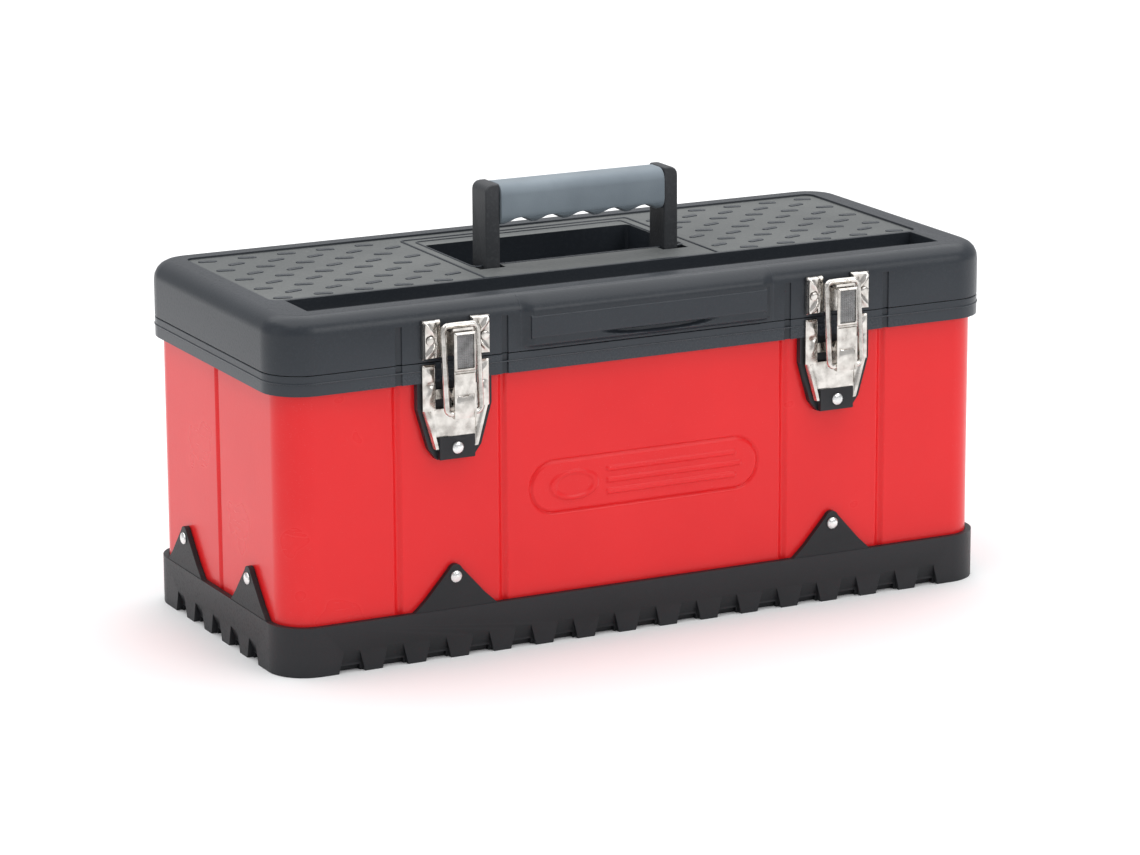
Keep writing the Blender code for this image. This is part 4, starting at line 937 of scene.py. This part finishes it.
def apron_face(x, z):
    """The tapered lower part: rolled edges and a raised, folded middle."""
    inset = apron_half(z) - abs(x)
    rise = PLATE_FACE
    rise += 1.1 * MM * step_up(5 * MM - inset, 0, 2.5 * MM) * (1 - edge_roll(inset))
    middle = step_up(x, -7 * MM, -3.5 * MM) * step_up(13 * MM - x, 0, 2 * MM)
    rise += 1.0 * MM * middle * step_up(SHOULDER_Z + 1 * MM - z, 0, 3 * MM)
    return rise - 1.0 * MM * edge_roll(inset)


def ear_face(x, z):
    """One ear of the keeper, with two slanting wedges pressed into it."""
    aside = abs(x)
    rise = EAR_FACE + 0.9 * MM * step_up(aside, 12.5 * MM, 15 * MM)
    high = z - (KEEPER_LOW_Z + KEEPER_TOP_Z) / 2
    if aside > EAR_MARKED:
        for out, at_x, up, half_x, half_z, lean in EAR_MARKS:
            rise += out * blob(aside, high, at_x, up, half_x, half_z, lean)
    inset = min(PLATE_HALF - aside, aside - EAR_INNER, KEEPER_TOP_Z - z, z - KEEPER_LOW_Z)
    corner = hypot(max(0, aside - PLATE_HALF + EAR_CORNER), max(0, z - KEEPER_TOP_Z + EAR_CORNER))
    inset = min(inset, EAR_CORNER - corner)
    return rise - 2.2 * MM * edge_roll(inset)


def lever_face(x, z):
    """The lever: a knurled thumb pad, a smooth waist and a rounded boss."""
    full = LEVER_FACE - 0.02 * MM
    boss_top = LEVER_LOW_Z + 13.5 * MM
    boss_middle = 7 * MM
    boss_half = 8 * MM
    groove_depth = 1.3 * MM
    upper_groove = 1.4 * MM
    lower_groove = 1.0 * MM
    inset = min(LEVER_HALF - abs(x), LEVER_TOP_Z - z)
    roll = 0.9 * MM * edge_roll(inset)
    if z > PAD_LOW_Z:
        border = min(inset, z - PAD_LOW_Z)
        if border < PAD_BORDER:
            return full - roll - 0.7 * MM * (1 - step_up(z - PAD_LOW_Z, 0, 0.5 * MM))
        across = 0.5 + 0.5 * cos(2 * pi * x / KNURL_PITCH)
        along = 0.5 + 0.5 * cos(2 * pi * z / KNURL_PITCH)
        knurl = across * along
        return full - 0.75 * MM + 0.6 * MM * knurl * step_up(border, PAD_BORDER, 2 * MM)
    if z > PAD_LOW_Z - upper_groove:
        return full - groove_depth
    if z > boss_top + lower_groove:
        pillow = 0.35 * MM * (x / LEVER_HALF) ** 2
        return full - 0.35 * MM - pillow - roll
    if z > boss_top:
        return full - groove_depth
    reach = hypot(x / LEVER_HALF, (z - LEVER_LOW_Z - boss_middle) / boss_half)
    return full - 1.25 * MM * min(1, reach ** 2.4) - roll * 0.3


def make_latch_base(side, x):
    """The plate on the rim: two raised sides, the apron, a bridge and the lever's two lugs."""
    lug_half = 0.6 * MM
    bm = bmesh.new()
    wing_heights = spread(SHOULDER_Z - 0.5 * MM, PLATE_TOP_Z, PRESSING_PITCH)
    for edges in (strip(-PLATE_HALF, -WING_INNER), strip(WING_INNER, PLATE_HALF)):
        relief(bm, x, spread(-1, 1, 0.06), wing_heights, edges, wing_face, plate_back)
    apron_heights = spread(PLATE_LOW_Z, SHOULDER_Z, PRESSING_PITCH)
    relief(bm, x, spread(-1, 1, 0.03), apron_heights, lambda z: (-apron_half(z), apron_half(z)),
           apron_face, plate_back)
    bridge_heights = [LEVER_PIVOT.z + 1 * MM, LEVER_PIVOT.z + 6.8 * MM]
    relief(bm, x, [-1, 1], bridge_heights, strip(-13 * MM, 13 * MM), flat(PLATE_FACE), plate_back)
    pivot = (RIM_FRONT - LEVER_PIVOT.y, LEVER_PIVOT.z)
    lug = [(0.9 * MM, LEVER_PIVOT.z + 6.5 * MM), (0.9 * MM, LEVER_PIVOT.z + 1.5 * MM)]
    lug += arc(pivot, LUG_ROUND, -110, 70, 8)
    for middle in (x - 4.4 * MM, x + 4.4 * MM):
        prism(bm, lug, middle - lug_half, middle + lug_half)
    shown(f"latch_base_{side}", bm, "box", NICKEL, [f"latch_plate_{side}"])


def make_keeper(side, x):
    """The plate on the lid: two ears, the shelf between them and its hook for the bail."""
    bm = bmesh.new()
    heights = spread(KEEPER_LOW_Z, KEEPER_TOP_Z, PRESSING_PITCH)
    for edges in (strip(-PLATE_HALF, -EAR_INNER), strip(EAR_INNER, PLATE_HALF)):
        relief(bm, x, spread(-1, 1, 0.05), heights, edges, ear_face, plate_back)
    shelf_top = LEVER_TOP_Z + 0.7 * MM
    shelf_low = KEEPER_LOW_Z + 0.5 * MM
    relief(bm, x, [-1, 1], [shelf_low, shelf_top], strip(-HOOK_HALF, HOOK_HALF),
           flat(PLATE_FACE), plate_back)
    relief(bm, x, [-1, 1], [shelf_low, KEEPER_LOW_Z + 2.5 * MM], strip(-10 * MM, 10 * MM),
           flat(1.4 * MM), plate_back)
    root = 0.9 * MM
    lip_in = 10.9 * MM
    lip_top = shelf_top + 1.2 * MM
    hook = [(root, shelf_top - HOOK_SHEET), (HOOK_REACH, shelf_top - HOOK_SHEET),
            (HOOK_REACH, lip_top), (lip_in, lip_top), (lip_in, shelf_top), (root, shelf_top)]
    prism(bm, hook, x - HOOK_HALF, x + HOOK_HALF)
    shown(f"latch_keeper_{side}", bm, "lid", NICKEL, [f"keeper_plate_{side}"])


def make_lever(side, x):
    """The lever with its two flanges, which reach back to the lugs and the bail."""
    flange_half = 0.7 * MM
    bm = bmesh.new()
    relief(bm, x, spread(-1, 1, 0.05), spread(LEVER_LOW_Z, LEVER_TOP_Z, 0.34 * MM),
           strip(-LEVER_HALF, LEVER_HALF), lever_face, lambda z: LEVER_BACK)
    pivot = (RIM_FRONT - LEVER_PIVOT.y, LEVER_PIVOT.z)
    bail = (RIM_FRONT - BAIL_PIVOT.y, BAIL_PIVOT.z)
    flange = [(LEVER_BACK + 0.5 * MM, LEVER_LOW_Z + 0.3 * MM),
              (bail[0], BAIL_PIVOT.z - FLANGE_ROUND)]
    flange += arc(bail, FLANGE_ROUND, 260, 180, 5)
    flange += arc(pivot, FLANGE_ROUND, 180, 135, 3)
    flange += [(LEVER_BACK - 0.2 * MM, LEVER_PIVOT.z + 12 * MM),
               (LEVER_BACK + 0.5 * MM, LEVER_PIVOT.z + 12 * MM)]
    for middle in (x - 6.3 * MM, x + 6.3 * MM):
        prism(bm, flange, middle - flange_half, middle + flange_half)
    lever = shown(f"latch_thumb_{side}", bm, f"lever_{side}", NICKEL,
                  [f"latch_lever_{side}"])
    # Painted shade: the pad's faces take the darker copy of the nickel.
    lever.data.materials.append(SHADED_KNURL)
    border = 1.6 * MM
    for face in lever.data.polygons:
        aside = abs(face.center.x - x)
        inside = PAD_LOW_Z + border < face.center.z < LEVER_TOP_Z - border
        if inside and aside < LEVER_HALF - border and face.normal.y < -0.1:
            face.material_index = 1


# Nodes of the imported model

def keep_nodes():
    """Rivets, pins, wire bails, the tray and its dividers."""
    for name, node in frame["nodes"].items():
        if name.startswith(("keeper_rivet", "latch_rivet_upper")):
            make_low_rivet(name)
        elif "rivet" in name or "pin_" in name:
            coat(node, STEEL)
        elif "bail" in name:
            coat(node, NICKEL)
            round_wire(node)
        elif name.startswith("tray_divider"):
            softened(name, "tray", TRAY, width=0.4 * MM)
        elif name == "tote_tray":
            softened(name, "tray", TRAY, width=0.5 * MM)


def make_low_rivet(node):
    """A low, broad-headed rivet in the same plate as what it holds."""
    low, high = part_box(node)
    centre = (low + high) / 2
    steps = 20
    shank = 1.8 * MM
    head = 2.7 * MM
    rise = 0.8 * MM
    seat = low.y + 1.6 * MM
    outline = [(shank, high.y), (shank, seat), (head, seat), (head, seat - rise * 0.3),
               (head * 0.8, seat - rise * 0.75), (head * 0.4, seat - rise * 0.97)]
    bm = bmesh.new()
    rings = []
    for radius, y in outline:
        ring = []
        for step in range(steps):
            angle = 2 * pi * step / steps
            ring.append(bm.verts.new((centre.x + radius * cos(angle), y,
                                      centre.z + radius * sin(angle))))
        rings.append(ring)
    tube(bm, rings)
    body = "lid" if node.startswith("keeper") else "box"
    shown(f"{node}_low", bm, body, NICKEL, [node])


def coat(node, material):
    """Gives a CAD node's object its finish."""
    node.data.materials.clear()
    node.data.materials.append(material)


def round_wire(node):
    """Closes the CAD wire's seams and subdivides it."""
    welded = node.modifiers.new("weld", "WELD")
    welded.merge_threshold = SEAM
    rounder = node.modifiers.new("rounder", "SUBSURF")
    rounder.levels = 2
    rounder.render_levels = 2


make_camera()
make_studio()
make_steel()
make_base()
make_rim()
make_lid()
make_handle()
for SIDE, X in (("left", -LATCH_X), ("right", LATCH_X)):
    make_latch_base(SIDE, X)
    make_keeper(SIDE, X)
    make_lever(SIDE, X)
keep_nodes()
